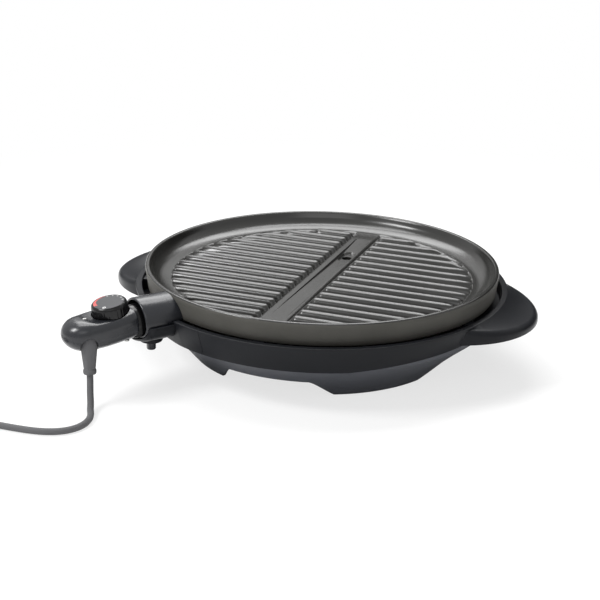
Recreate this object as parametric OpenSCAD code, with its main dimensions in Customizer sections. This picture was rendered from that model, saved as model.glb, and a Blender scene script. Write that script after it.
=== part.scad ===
// Round electric table grill: a ribbed plate with a built-in heater lifts out of a
// plastic base with two wing handles, and a plug-in thermostat control feeds it.
// Millimetres, +Z up, table at z = 0. The handles lie along X and the front is -Y.

/* [Grill plate] */
// Radius of the plate at its rim
plate_r = 200; // [196:1:206]
// Height of the plate from the foot of its skirt to its rim
plate_h = 25; // [24:0.5:30]
// Depth of the plate's valleys below its rim
dish_depth = 20.6; // [19:0.2:21]
// Thickness of the cast floor
plate_t = 4.9; // [4:0.1:5.5]
// Thickness of the skirt
skirt_t = 2.8; // [2.2:0.1:3.6]
// Width of the dished border between the rim and the ribs
border_w = 24; // [20:1:28]
// Number of ribs on each side of the middle land
rib_count = 17; // [13:2:17]
// Distance from one rib to the next
rib_pitch = 19.85; // [18:0.05:20]
// Height of a rib above the valleys
rib_h = 6.1; // [4:0.1:6.4]
// Radius of a rib's rounded back
rib_r = 6.6; // [6.5:0.1:7]
// Half width of the land between the two fields of ribs
land_half = 16; // [12:1:20]
// Height of the land above the valleys
land_h = 3.3; // [1.5:0.1:3.8]
// Width of the drain channel in the land
channel_w = 18; // [12:1:20]
// Distance of the drain hole behind the plate's axis
drain_y = 82; // [60:1:110]
// Radius of the drain hole
drain_r = 6; // [4:0.5:7]

/* [Heater] */
// Radius of the heater's loop
heater_loop_r = 115; // [105:1:125]
// Radius of the heater's sheath
heater_r = 4; // [3:0.1:4.5]
// Half distance between the two terminal pins
pin_half = 12; // [10:0.5:13]
// Radius of a terminal pin
pin_r = 2; // [1.5:0.1:2.4]

/* [Base] */
// Height of the seats that the plate's skirt rests on
seat_z = 75.3; // [73:0.1:80]
// Clear gap between the plate and the ring around it
ring_gap = 6; // [4:0.5:8]
// Width of the ring's top edge
ring_t = 5; // [4:0.5:6]
// Height of the ring's front skirt above the table
ring_bottom_z = 48; // [46:1:50]
// Slope at which the ring's lower edge rises towards the handles
ring_rise = 0.1; // [0:0.01:0.12]
// Wall of the lower housing
bowl_t = 3; // [2.4:0.1:3.6]
// Height of the lower housing's floor above the table
floor_z = 22; // [20:0.5:24]
// Radius of the lower housing's cone where it meets the table
foot_r = 148.5; // [144:0.5:152]
// Half angle that each foot covers at the table
foot_half_angle = 19.8; // [16:0.2:22]
// Radius of a rubber foot pad
pad_r = 8; // [6:0.5:9]
// Number of plate seats around the ring
seat_count = 5; // [5:5:10]
// Number of screws that join the two housings
screw_count = 6; // [4:2:8]

/* [Handles] */
// Distance of each handle's tip from the plate's axis
handle_reach = 248.5; // [244:0.5:254]
// Radius of a handle's round outline
handle_r = 93.5; // [88:0.5:96]
// Height of a handle's underside above the table
handle_bottom_z = 59; // [57:0.5:61]
// Height that a handle's top loses out to its tip
handle_drop = 8.5; // [6:0.5:10]
// Wall of a handle
handle_t = 3; // [2.4:0.1:3.4]

/* [Drip tray] */
// Radius of the tray's rim
tray_r = 100; // [90:1:104]
// Height of the tray
tray_h = 16; // [12:0.5:18]
// Thickness of the tray's sheet
tray_t = 1; // [0.8:0.1:1.6]

/* [Control] */
// Direction of the control seen from above, from +X
control_angle = -125.5; // [-127:0.5:-124]
// Height of the control's axis above the table
control_z = 74; // [73:0.5:75]
// Outer radius of the collar on the plate
collar_r = 26; // [25:0.5:27]
// Length of the collar
collar_l = 36; // [33:1:38]
// Wall of the collar
collar_t = 3; // [2.4:0.1:3.4]
// Length of the control's housing
control_l = 84; // [80:1:90]
// Wall of the control's shells
shell_t = 2.4; // [2:0.1:2.8]
// Distance of the knob's axis from the housing's inner end
knob_at = 28.5; // [26:0.5:31]
// Radius of the temperature knob
knob_r = 20.5; // [18:0.5:21]
// Height of the temperature knob
knob_h = 14.5; // [12:0.5:16]
// Angle at which the knob leans out
knob_lean = 10; // [6:1:12]
// Length of the temperature probe in the plate
probe_l = 42; // [34:1:48]

/* [Cord] */
// Diameter of the mains cord
cord_d = 7; // [6.5:0.1:7.5]
// Length of the strain relief below its bulge
relief_l = 24.5; // [22:0.5:27]

/* [Hidden] */
$fn = 96;

// Clearances
slip = 0.3;
touch = 0.2;
running = 0.06;
eps = 0.01;

// Heights of the plate
skirt_z = seat_z + touch;
rim_z = skirt_z + plate_h;
valley_z = rim_z - dish_depth;
crest_z = valley_z + rib_h;
land_z = valley_z + land_h;
under_z = valley_z - plate_t;
rim_w = 5;
border_r = plate_r - rim_w - border_w;
rib_reach_r = border_r + 1;

// The ring around the plate
ring_in_r = plate_r + ring_gap;
ring_out_r = ring_in_r + ring_t;
ring_top_z = seat_z + 2.4;
flange_z = ring_bottom_z + 12;
flange_t = 3;
flange_in_r = plate_r - 16;
ring_foot_out_r = ring_out_r - 8.5;
ring_foot_in_r = ring_foot_out_r - 4;
ring_rise_from = 95;
cradle_half_angle = 18;
seat_w = 14;
seat_in_r = plate_r - 7;
screw_ring_r = flange_in_r + 5.5;
screw_r = 2;
boss_r = 4.5;
channel_x = 2;

// The lower housing's cone, from the table up to the ring
cone_r = [foot_r, foot_r + 16.5, foot_r + 28, ring_foot_in_r - slip];
cone_z = [0, 20, 30, ring_bottom_z];
bowl_top_z = flange_z - touch;
floor_edge_r = cone_r[1] + (floor_z - 20) * 1.15;
foot_angles = [44.6, 135.4, 224.6, 315.4];
foot_flare = 28;
foot_lift = 0.8;
pad_h = 3;
pad_ring_r = foot_r - 11;

// The handles
handle_x = handle_reach - handle_r;
handle_high_x = 187;
handle_tilt = atan(handle_drop / (handle_reach - handle_high_x));
handle_join_x = (ring_out_r * ring_out_r - handle_r * handle_r + handle_x * handle_x) / (2 * handle_x);
handle_join_y = sqrt(ring_out_r * ring_out_r - handle_join_x * handle_join_x);
cover_r = handle_r - handle_t - 2.1;
grip_screw_y = 0.56 * handle_join_y;
grip_screw_in_x = sqrt(ring_foot_out_r * ring_foot_out_r - grip_screw_y * grip_screw_y);
grip_screw_out_x = handle_x + sqrt(cover_r * cover_r - grip_screw_y * grip_screw_y);
grip_screw_x = (grip_screw_in_x + 4 + grip_screw_out_x) / 2;

// The control's length along its own axis, outwards from the plate's axis
collar_in = plate_r + 1.5;
collar_out = collar_in + collar_l;
control_in = collar_out + 1;
control_out = control_in + control_l;
collar_flat_z = control_z - 17;
collar_screw_y = 17;
collar_screw_z = control_z + 9;
cradle_floor_z = collar_flat_z - 6.5;
cradle_t = 3.2;
cradle_edge_z = control_z - 10;
cradle_out = collar_out - 3;
split_z = control_z - 10;
button_at = collar_in + 19;
button_r = 5;
button_drop = 8;
cup_r = 8;
cup_t = 1.2;
knob_x = control_in + knob_at;
knob_base_z = control_z + 14;
knob_room = 0.6;
shaft_r = 4;
pocket_t = 2.4;
pin_out = control_in - 10;
pin_z = under_z - heater_r - touch;
pin_in = heater_loop_r * cos(asin(pin_half / heater_loop_r));
heater_out = collar_in - 4;
insulator_r = 5;
probe_z = control_z - 4;
probe_r = 2.2;
guide_r = 3.3;
probe_in = collar_in - probe_l;
block_in = collar_in + 16;
block_out = control_in + 12;
block_half_w = 16.5;
block_half_h = 11.5;
lamp_r = 2;
lamp_at = control_l * 0.72;
lamp_top = 18.4;
thermostat_in = control_in + 15;
thermostat_z = control_z - 9;
thermostat_h = 14;
shaft_in = 16;
dial_r = 16.2;
dial_t = 1;
grip_count = 24;
shell_screw_places = [[17.5, -17.5], [17.5, 17.5], [72, 0]];

// The strain relief: where it leaves the housing, and its lean towards the front
relief_at = [control_in + 59, 9.2, -11];
relief_lean = 13;
relief_heading = 63.5;
relief_top_r = 8.7;
relief_end_r = 6.1;
relief_bulge_r = 6.7;
relief_bulge_l = 6;

// The cross-sections of the control's housing: place along its length, half width,
// height above its axis and depth below it, each as the real housing swells
station = [0, 0.02, 0.07, 0.16, 0.28, 0.4, 0.52, 0.64, 0.75, 0.85, 0.92, 0.97, 1];
half_width = [19.5, 21.4, 22.4, 23.4, 24.6, 25, 24.8, 24, 22.4, 19.4, 15.6, 10.6, 4];
height_up = [17, 19, 19.6, 19, 17.8, 17, 16.8, 17.4, 17.6, 16, 13, 9, 3.4];
depth_down = [13.8, 15.4, 16.2, 17.4, 18.8, 19.7, 20, 19.6, 18.4, 15.8, 12.4, 8.6, 3.4];
// Points round each cross-section
shell_sides = 32;

// The cord's route on the table, after it leaves the strain relief
cord_r = cord_d / 2;
cord_sides = 10;
cord_route = [
    [-162, -253.5, 33.2], [-161.5, -254.5, 29], [-160.5, -256.5, 24], [-158, -261.5, 15.7],
    [-154, -268.5, 9.3], [-150, -276.5, 5.2], [-144.5, -286.5, 3.5], [-141, -298, 3.5],
    [-141, -310, 3.5], [-145.5, -321.5, 3.5], [-154, -330.5, 3.5], [-167, -337, 3.5],
    [-180, -340, 3.5], [-196, -341.5, 3.5], [-214, -342, 3.5], [-232, -342, 3.5],
    [-250, -342, 3.5], [-266, -342, 3.5], [-280, -342, 3.5], [-292, -342, 3.5]
];
coil_in_r = 28;
coil_turns_wide = 3;
coil_out_r = coil_in_r + coil_turns_wide * cord_d;
coil_h = 2 * cord_d;
coil_at = [-308, -342 + coil_out_r - cord_r, 0];
tail_route = [
    [-353.5, -296.5, 10.5], [-353.5, -287, 9.6], [-353.5, -278, 7.9], [-353.5, -269, 6.4],
    [-353.5, -260, 5.8], [-353.5, -252, 6.6], [-353.5, -245, 8.4]
];

// The plug: a straight earthed plug that lies on its side beside the coil
plug_at = [-353.5, -245, 8.4];
plug_lean = 20;
plug_l = 46;
plug_face_r = 18.8;
plug_neck_r = 8;
plug_pin_r = 2.4;
plug_pin_l = 19;
plug_pin_half = 9.5;

// The frame's origin: the middle of the object's outline, on the table
side_dir = control_angle + 90;
control_front_y = min([for (i = [0 : len(station) - 1])
    (control_in + control_l * station[i]) * sin(control_angle)
    - half_width[i] * abs(sin(side_dir))]);
axis_y = -(ring_out_r + control_front_y) / 2;

// Places children in the frame of the plate's axis
module at_axis() {
    translate([0, axis_y, 0]) children();
}

// Places children with +X out along the control and z = 0 on its axis
module at_control() {
    at_axis() rotate([0, 0, control_angle]) translate([0, 0, control_z]) children();
}

// A round bar along +X
module bar(r, l) {
    rotate([0, 90, 0]) cylinder(r = r, h = l);
}

// A round rib along X with ball ends, from x0 to x1
module rib(x0, x1) {
    translate([x0, 0, 0]) rotate([0, 90, 0]) rotate_extrude()
        intersection() {
            union() {
                translate([0, rib_r]) circle(r = rib_r);
                translate([0, rib_r]) square([rib_r, x1 - x0 - 2 * rib_r]);
                translate([0, x1 - x0 - rib_r]) circle(r = rib_r);
            }
            square([rib_r, x1 - x0]);
        }
}

// A pan-head screw, head upwards at z = 0, shank downwards
module screw(head_r, shank_r, l) {
    union() {
        difference() {
            cylinder(r = head_r, h = 1.8);
            for (a = [0, 90]) {
                rotate([0, 0, a]) translate([-head_r * 0.6, -0.5, 0.8]) cube([head_r * 1.2, 1, 1.1]);
            }
        }
        translate([0, 0, -l]) cylinder(r = shank_r, h = l + eps);
    }
}

// A wedge of the ring, half_angle either side of the control
module control_sector(half_angle, reach, h) {
    rotate([0, 0, control_angle]) linear_extrude(height = h)
        polygon([[0, 0], [reach, -reach * tan(half_angle)], [reach, reach * tan(half_angle)]]);
}

// The ring's own cross-section, swept all round
module ring_body() {
    difference() {
        rotate_extrude()
            polygon([
                [ring_foot_in_r, ring_bottom_z], [ring_foot_out_r, ring_bottom_z],
                [ring_out_r, ring_top_z - 1], [ring_out_r - 0.8, ring_top_z],
                [ring_in_r + 0.8, ring_top_z], [ring_in_r, ring_top_z - 1],
                [ring_in_r - 1, flange_z + flange_t], [flange_in_r, flange_z + flange_t],
                [flange_in_r, flange_z], [ring_foot_in_r, flange_z]
            ]);
        for (side = [0, 180]) {
            rotate([0, 0, side]) rotate([90, 0, 0]) translate([0, 0, -ring_out_r])
                linear_extrude(height = 2 * ring_out_r)
                    polygon([
                        [ring_rise_from, ring_bottom_z - eps], [ring_out_r + 5, ring_bottom_z - eps],
                        [ring_out_r + 5, ring_bottom_z + ring_rise * (ring_out_r + 5 - ring_rise_from)]
                    ]);
        }
    }
}

// One slice of a handle: a thin disc that tilts down towards the tip
module tilted_slice(inset, drop) {
    translate([handle_high_x, 0, ring_top_z - drop]) rotate([0, handle_tilt, 0]) intersection() {
        translate([handle_x - handle_high_x, 0, -0.5]) cylinder(r = handle_r - inset, h = 0.5, $fn = 64);
        translate([0, -handle_r, -1]) cube([2 * handle_r, 2 * handle_r, 2]);
    }
}

// A solid handle, inset all round by a wall
module handle_form(wall) {
    hull() {
        intersection() {
            translate([0, 0, ring_top_z - 0.5 - wall])
                cylinder(r = ring_out_r - 1.5 - wall, h = 0.5, $fn = 96);
            translate([handle_x, -handle_r, 0]) cube([handle_r, 2 * handle_r, 200]);
        }
        tilted_slice(2.4 + wall, wall);
        tilted_slice(0.7 + wall, 1.6 + wall);
        tilted_slice(wall, 4.2 + wall);
        translate([handle_x, 0, handle_bottom_z + 2.5]) cylinder(r = handle_r - wall, h = 0.5, $fn = 64);
        translate([handle_x, 0, handle_bottom_z]) cylinder(r = handle_r - 1.6 - wall, h = 0.5, $fn = 64);
    }
}

// A cone that follows the ring's outer face, grown by a distance
module ring_cone(grow) {
    slope = (ring_out_r - ring_foot_out_r) / (ring_top_z - 1 - ring_bottom_z);
    translate([0, 0, ring_bottom_z])
        cylinder(r1 = ring_foot_out_r + grow, r2 = ring_foot_out_r + grow + 60 * slope, h = 60);
}

// The space inside a handle, open at its underside
module handle_room() {
    difference() {
        union() {
            handle_form(handle_t);
            translate([handle_x, 0, handle_bottom_z - 1])
                cylinder(r = cover_r + slip, h = handle_t + 4);
        }
        ring_cone(0.6);
    }
}

module lower_housing() {
    color("slategray") at_axis() difference() {
        union() {
            rotate_extrude()
                polygon([
                    [0, floor_z], [floor_edge_r, floor_z], [cone_r[2], cone_z[2]],
                    [cone_r[3], cone_z[3]], [cone_r[3], bowl_top_z], [cone_r[3] - bowl_t, bowl_top_z],
                    [cone_r[3] - bowl_t, cone_z[3] + 1], [cone_r[2] - bowl_t, cone_z[2] + 1.4],
                    [cone_r[1] - 2, floor_z + bowl_t], [0, floor_z + bowl_t]
                ]);
            for (a = foot_angles) foot(a);
            for (i = [0 : screw_count - 1]) {
                rotate([0, 0, control_angle + (i + 0.5) * 360 / screw_count]) intersection() {
                    translate([screw_ring_r, 0, cone_z[2]])
                        cylinder(r = boss_r, h = bowl_top_z - cone_z[2]);
                    bowl_room();
                }
            }
            tray_stops();
            shield_posts();
        }
        for (i = [0 : screw_count - 1]) {
            rotate([0, 0, control_angle + (i + 0.5) * 360 / screw_count])
                translate([screw_ring_r, 0, bowl_top_z - 12]) cylinder(r = screw_r, h = 13);
        }
        control_bay();
    }
}

// The solid that fills the lower housing, a little inside its outline
module bowl_room() {
    rotate_extrude()
        polygon([
            [0, floor_z + 1], [cone_r[1] - 1, floor_z + 1], [cone_r[2] - 1, cone_z[2]],
            [cone_r[3] - 1, cone_z[3]], [cone_r[3] - 1, bowl_top_z], [0, bowl_top_z]
        ]);
}

// Room in both housings for the heater's terminals, where the cradle stands
module control_bay() {
    half = collar_r + 1 + cradle_t + 1;
    rotate([0, 0, control_angle]) translate([plate_r - 30, -half, cradle_floor_z - cradle_t - slip])
        cube([60, 2 * half, 60]);
}

// One hollow foot that flares up into the floor
module foot(a) {
    narrow = foot_r * sin(foot_half_angle);
    wide = cone_r[1] * sin(foot_flare);
    difference() {
        foot_block(a, narrow, wide, [
            [foot_r - 26, foot_lift], [foot_r + foot_lift * 0.82, foot_lift], [cone_r[1], 20],
            [floor_edge_r - 0.3, floor_z], [floor_edge_r - 2, floor_z + 1], [foot_r - 26, floor_z + 1]
        ]);
        foot_block(a, narrow - 3, wide - 3, [
            [foot_r - 23, -1], [foot_r - 3.8, -1], [cone_r[1] - 3.5, floor_z - 2.5],
            [foot_r - 23, floor_z - 2.5]
        ]);
    }
    rotate([0, 0, a]) translate([pad_ring_r, 0, 0]) difference() {
        translate([0, 0, foot_lift]) cylinder(r = pad_r + 2.5, h = floor_z - foot_lift + 1);
        translate([0, 0, 0]) cylinder(r = pad_r + touch, h = pad_h);
    }
}

// The foot's wedge: a trapezium seen from outside, of a given cross-section
module foot_block(a, narrow, wide, outline) {
    intersection() {
        rotate_extrude() polygon(outline);
        rotate([0, 0, a]) rotate([90, 0, 90]) linear_extrude(height = 2 * foot_r)
            polygon([
                [-narrow, -2], [narrow, -2], [narrow, 0], [wide, 17], [wide, floor_z + 2],
                [-wide, floor_z + 2], [-wide, 17], [-narrow, 0]
            ]);
    }
}

// Four stops that centre the drip tray on the floor
module tray_stops() {
    for (a = [0 : 90 : 270]) {
        rotate([0, 0, a]) translate([tray_r - 7 + slip, -6, floor_z + 1]) cube([5, 12, bowl_t + 3]);
    }
}

// Posts under the heat shield
module shield_posts() {
    for (a = [30 : 60 : 330]) {
        rotate([0, 0, a]) translate([140, 0, floor_z + 1])
            cylinder(r = 4, h = flange_z - 8 - touch - floor_z - 1);
    }
}

module upper_housing() {
    color("dimgray") at_axis() difference() {
        union() {
            ring_body();
            for (i = [0 : seat_count - 1]) {
                rotate([0, 0, control_angle + (i + 0.5) * 360 / seat_count])
                    translate([seat_in_r, -seat_w / 2, flange_z + eps])
                        cube([ring_in_r + 1 - seat_in_r, seat_w, seat_z - flange_z - eps]);
            }
            for (side = [0, 180]) {
                rotate([0, 0, side]) difference() {
                    handle_form(0);
                    ring_cone(-2);
                    handle_room();
                }
            }
            for (side = [0, 180]) {
                rotate([0, 0, side]) for (y = [-grip_screw_y, grip_screw_y]) {
                    intersection() {
                        translate([grip_screw_x, y, handle_bottom_z + 3]) cylinder(r = 4, h = 20);
                        handle_form(1);
                    }
                }
            }
        }
        for (i = [0 : screw_count - 1]) {
            rotate([0, 0, control_angle + (i + 0.5) * 360 / screw_count])
                translate([screw_ring_r, 0, flange_z - 1]) cylinder(r = screw_r + touch, h = 6);
        }
        for (side = [0, 180]) {
            rotate([0, 0, side]) for (y = [-grip_screw_y, grip_screw_y]) {
                translate([grip_screw_x, y, handle_bottom_z]) cylinder(r = 1.5, h = 10);
            }
        }
        control_sector(cradle_half_angle + 0.05, 240, 200);
    }
}

module control_cradle() {
    color("dimgray") at_axis() difference() {
        union() {
            intersection() {
                ring_body();
                control_sector(cradle_half_angle, 240, 200);
            }
            rotate([0, 0, control_angle]) translate([0, 0, control_z]) trough_solid();
        }
        rotate([0, 0, control_angle]) translate([0, 0, control_z]) trough_room();
    }
}

// The trough under the collar, before it is hollowed
module trough_solid() {
    intersection() {
        translate([seat_in_r - 4, 0, 0]) bar(collar_r + 1 + cradle_t, cradle_out - seat_in_r + 4);
        translate([0, -60, cradle_floor_z - cradle_t - control_z])
            cube([400, 120, cradle_edge_z - cradle_floor_z + cradle_t]);
    }
}

// The trough's inside, open upwards, with the release button's hole
module trough_room() {
    difference() {
        union() {
            translate([flange_in_r - 1, 0, 0]) bar(collar_r + 1, 80);
            translate([flange_in_r - 1, -(collar_r + 1), 0]) cube([80, 2 * (collar_r + 1), 60]);
        }
        translate([0, -60, cradle_floor_z - control_z - 60]) cube([400, 120, 60]);
    }
    translate([button_at, 0, cradle_floor_z - cradle_t - control_z - 1])
        cylinder(r = button_r + running, h = cradle_t + 2);
}

module foot_pads() {
    color("black") at_axis() for (a = foot_angles) {
        rotate([0, 0, a]) translate([pad_ring_r, 0, 0]) cylinder(r = pad_r, h = pad_h);
    }
}

module housing_screws() {
    color("silver") at_axis() for (i = [0 : screw_count - 1]) {
        rotate([0, 0, control_angle + (i + 0.5) * 360 / screw_count])
            translate([screw_ring_r, 0, flange_z + flange_t]) screw(3.8, screw_r - 0.05, 13);
    }
}

module heat_shield() {
    shield_z = flange_z - 8;
    shield_out_r = screw_ring_r - boss_r - 2.5;
    color("lightgray") at_axis() rotate_extrude()
        polygon([
            [tray_r + 6, shield_z - 3], [tray_r + 7, shield_z - 3], [tray_r + 8, shield_z],
            [shield_out_r, shield_z], [shield_out_r + 1.5, shield_z + 3],
            [shield_out_r + 0.6, shield_z + 3.2], [shield_out_r - 0.6, shield_z + 0.8],
            [tray_r + 7.4, shield_z + 0.8], [tray_r + 6, shield_z - 2.2]
        ]);
}

// A cover under a handle, as a flat plate between the handle's walls
module grip_cover() {
    difference() {
        translate([handle_x, 0, handle_bottom_z + 0.2]) cylinder(r = cover_r, h = 2.4);
        ring_cone(0.9);
        for (y = [-grip_screw_y, grip_screw_y]) {
            translate([grip_screw_x, y, 0]) cylinder(r = 1.8, h = 200);
        }
    }
}

module grip_cover_right() {
    color("dimgray") at_axis() grip_cover();
}

module grip_cover_left() {
    color("dimgray") at_axis() rotate([0, 0, 180]) grip_cover();
}

module grip_screws() {
    color("silver") at_axis() for (side = [0, 180]) {
        rotate([0, 0, side]) for (y = [-grip_screw_y, grip_screw_y]) {
            translate([grip_screw_x, y, handle_bottom_z + 0.2]) rotate([180, 0, 0]) screw(3, 1.45, 9);
        }
    }
}

module release_button() {
    color("black") at_axis() rotate([0, 0, control_angle]) translate([button_at, 0, 0]) union() {
        cylinder_from_to(button_r, cradle_floor_z - cradle_t - button_drop, cradle_floor_z + touch);
        cylinder_from_to(button_r + 1.2, cradle_floor_z + touch, cradle_floor_z + touch + 0.9);
        cylinder_from_to(2, cradle_floor_z + touch + 0.9, collar_flat_z - 2.2);
    }
}

// An upright cylinder between two heights
module cylinder_from_to(r, z0, z1) {
    translate([0, 0, z0]) cylinder(r = r, h = z1 - z0);
}

module button_spring() {
    spring_z = cradle_floor_z + touch + 0.9;
    top_z = collar_flat_z - 0.8 - cup_t;
    ring_h = (top_z - spring_z) / 5;
    ring_step = (top_z - spring_z - 0.2 - ring_h) / 2;
    color("silver") at_axis() rotate([0, 0, control_angle]) translate([button_at, 0, 0]) union() {
        for (i = [0 : 2]) {
            translate([0, 0, spring_z + 0.1 + i * ring_step]) difference() {
                cylinder(r = 4.4, h = ring_h);
                translate([0, 0, -1]) cylinder(r = 3.2, h = 5);
            }
        }
        for (i = [0 : 1]) {
            for (side = [-1, 1]) {
                rotate([0, 0, i * 90]) translate([side * 3.8 - 0.5, -0.9, spring_z + 0.3 + i * ring_step])
                    cube([1, 1.8, ring_step + 0.2]);
            }
        }
    }
}

module spring_cup() {
    color("dimgray") at_axis() rotate([0, 0, control_angle]) translate([button_at, 0, 0])
        difference() {
            cylinder_from_to(cup_r, cradle_floor_z, collar_flat_z - 0.8);
            cylinder_from_to(cup_r - cup_t, cradle_floor_z - 1, collar_flat_z - 0.8 - cup_t);
            cylinder_from_to(2.4, cradle_floor_z, collar_flat_z);
        }
}

module drip_tray() {
    tray_z = floor_z + bowl_t + touch;
    color("lightgray") at_axis() rotate_extrude()
        polygon([
            [0, tray_z], [tray_r - 9, tray_z], [tray_r - 4, tray_z + tray_h - tray_t],
            [tray_r, tray_z + tray_h - tray_t], [tray_r, tray_z + tray_h],
            [tray_r - 4 - tray_t, tray_z + tray_h],
            [tray_r - 9 - tray_t, tray_z + tray_t], [0, tray_z + tray_t]
        ]);
}

// The round ribs on both sides of the land
module rib_fields() {
    for (i = [0 : rib_count - 1]) {
        y = (i - (rib_count - 1) / 2) * rib_pitch;
        reach = sqrt(rib_reach_r * rib_reach_r - y * y);
        translate([0, y, crest_z - rib_r]) {
            rib(-reach, -land_half);
            rib(land_half, reach);
        }
    }
}

module grill_plate() {
    color("gray") at_axis() difference() {
        union() {
            rotate_extrude()
                polygon([
                    [0, under_z], [border_r - 2, under_z], [border_r + 8, under_z + 5.5],
                    [plate_r - 8.5, rim_z - 14], [plate_r - skirt_t - 3, rim_z - 7],
                    [plate_r - skirt_t - 3, skirt_z], [plate_r - 3, skirt_z],
                    [plate_r - 0.8, skirt_z + plate_h * 0.65], [plate_r, rim_z - 4],
                    [plate_r - 0.3, rim_z - 1.2], [plate_r - 1.5, rim_z], [plate_r - 3.9, rim_z],
                    [plate_r - rim_w, rim_z - 1.2], [plate_r - 7.5, rim_z - 7],
                    [plate_r - 13, rim_z - 12.5], [plate_r - 20, rim_z - 15.8],
                    [border_r + 1, land_z], [border_r, land_z], [border_r - 3, valley_z], [0, valley_z]
                ]);
            intersection() {
                rib_fields();
                translate([0, 0, valley_z - 1]) cylinder(r = plate_r - 10, h = rib_h + 2);
            }
            intersection() {
                translate([-land_half + 2, -plate_r, valley_z - 1])
                    cube([2 * land_half - 4, 2 * plate_r, land_h + 1]);
                cylinder(r = border_r, h = 200);
            }
            rotate([0, 0, control_angle]) translate([probe_in - 3, -6, probe_z - guide_r - 2])
                cube([plate_r - 9 - probe_in, 12, under_z - probe_z + guide_r + 3]);
        }
        drain_channel();
        translate([channel_x, drain_y, 0]) cylinder(r = drain_r, h = 200);
        rotate([0, 0, control_angle]) {
            translate([probe_in - 2, 0, probe_z]) bar(guide_r + running, 60);
            for (side = [-1, 1]) {
                translate([plate_r - 12, side * collar_screw_y, collar_screw_z]) bar(1.6 + running, 20);
            }
        }
    }
}

// The channel in the middle land, which deepens towards the drain hole from both ends
module drain_channel() {
    length = border_r - 20 + drain_y;
    back_length = border_r - 23 - drain_y - drain_r;
    depth = land_h * 0.8;
    translate([channel_x + channel_w / 2, drain_y + drain_r, land_z]) rotate([0, 0, -90])
        rotate([90, 0, 0]) linear_extrude(height = channel_w)
            polygon([
                [-back_length, 1], [-back_length, 0], [0, -depth], [2 * drain_r, -depth],
                [length, 0], [length, 1]
            ]);
}

// The heater's loop under the plate, with its two ends led out to the pins
module heating_element() {
    color("silver") at_axis() rotate([0, 0, control_angle]) translate([0, 0, pin_z]) union() {
        difference() {
            rotate_extrude() translate([heater_loop_r, 0]) circle(r = heater_r);
            translate([heater_loop_r - 20, -pin_half - eps, -10]) cube([40, 2 * (pin_half + eps), 20]);
        }
        for (side = [-1, 1]) {
            translate([pin_in - 1, side * pin_half, 0]) bar(heater_r, heater_out - pin_in + 1);
        }
    }
}

module element_clips() {
    room = heater_r + slip;
    color("silver") at_axis() for (a = [30, 120, 210, 300]) {
        rotate([0, 0, control_angle + a]) translate([heater_loop_r, 0, pin_z]) rotate([90, 0, 0])
            translate([0, 0, -6]) linear_extrude(height = 12) difference() {
                polygon([
                    [-room - 7, under_z - pin_z], [-room - 7, under_z - pin_z - 1.2],
                    [-room - 1.2, under_z - pin_z - 1.2], [-room - 1.2, -room - 1.2],
                    [room + 1.2, -room - 1.2], [room + 1.2, under_z - pin_z - 1.2],
                    [room + 7, under_z - pin_z - 1.2], [room + 7, under_z - pin_z]
                ]);
                translate([-room, -room]) square([2 * room, 20]);
            }
    }
}

module control_collar() {
    skirt_slope = 2.2 / (plate_h * 0.65);
    seat_r = plate_r - 3 + slip;
    color("dimgray") at_axis() difference() {
        rotate([0, 0, control_angle]) translate([0, 0, control_z]) difference() {
            intersection() {
                translate([plate_r - 6, 0, 0]) bar(collar_r, collar_l + collar_in - plate_r + 6);
                translate([0, -60, collar_flat_z - control_z]) cube([400, 120, 60]);
            }
            intersection() {
                translate([collar_in + 4, 0, 0]) bar(collar_r - collar_t, collar_l);
                translate([0, -60, collar_flat_z - control_z + collar_t]) cube([400, 120, 60]);
            }
            for (side = [-1, 1]) {
                translate([plate_r - 8, side * pin_half, pin_z - control_z]) bar(insulator_r + touch, 16);
                translate([plate_r - 8, side * collar_screw_y, collar_screw_z - control_z])
                    bar(1.6 + touch, 16);
            }
            translate([plate_r - 8, 0, probe_z - control_z]) bar(guide_r + touch, 16);
            translate([button_at, 0, collar_flat_z - control_z - 1]) cylinder(r = 3, h = 6);
        }
        translate([0, 0, skirt_z - 30])
            cylinder(r1 = seat_r - 30 * skirt_slope, r2 = seat_r + 30 * skirt_slope, h = 60);
    }
}

module collar_screws() {
    color("silver") at_axis() rotate([0, 0, control_angle]) for (side = [-1, 1]) {
        translate([collar_in + 4, side * collar_screw_y, collar_screw_z]) rotate([0, 90, 0])
            screw(3, 1.6, collar_in + 4 - (plate_r - 6));
    }
}

module terminal_pins() {
    color("silver") at_axis() rotate([0, 0, control_angle]) for (side = [-1, 1]) {
        translate([heater_out, side * pin_half, pin_z]) bar(pin_r, pin_out - heater_out);
    }
}

module terminal_insulators() {
    color("ivory") at_axis() rotate([0, 0, control_angle]) for (side = [-1, 1]) {
        translate([heater_out + 0.4, side * pin_half, pin_z]) difference() {
            bar(insulator_r, collar_in + 5 - heater_out);
            translate([-1, 0, 0]) bar(pin_r + 0.02, 20);
        }
    }
}

module probe_guide() {
    color("goldenrod") at_axis() rotate([0, 0, control_angle]) translate([0, 0, probe_z]) difference() {
        translate([probe_in - 2, 0, 0]) bar(guide_r, probe_l + 8);
        translate([probe_in - 0.5, 0, 0]) bar(probe_r + 0.1, probe_l + 8);
    }
}

// One cross-section of the control's housing as points, inset by a wall
function section(i, inset) = [
    for (k = [0 : shell_sides - 1])
        let (a = 360 * k / shell_sides)
        let (up = sin(a) >= 0 ? height_up[i] : depth_down[i])
        let (along = control_l * station[i])
        let (x = max(inset, min(control_l - inset, along)))
        [control_in + x, max(0.5, half_width[i] - inset) * cos(a), max(0.5, up - inset) * sin(a)]
];

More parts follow.
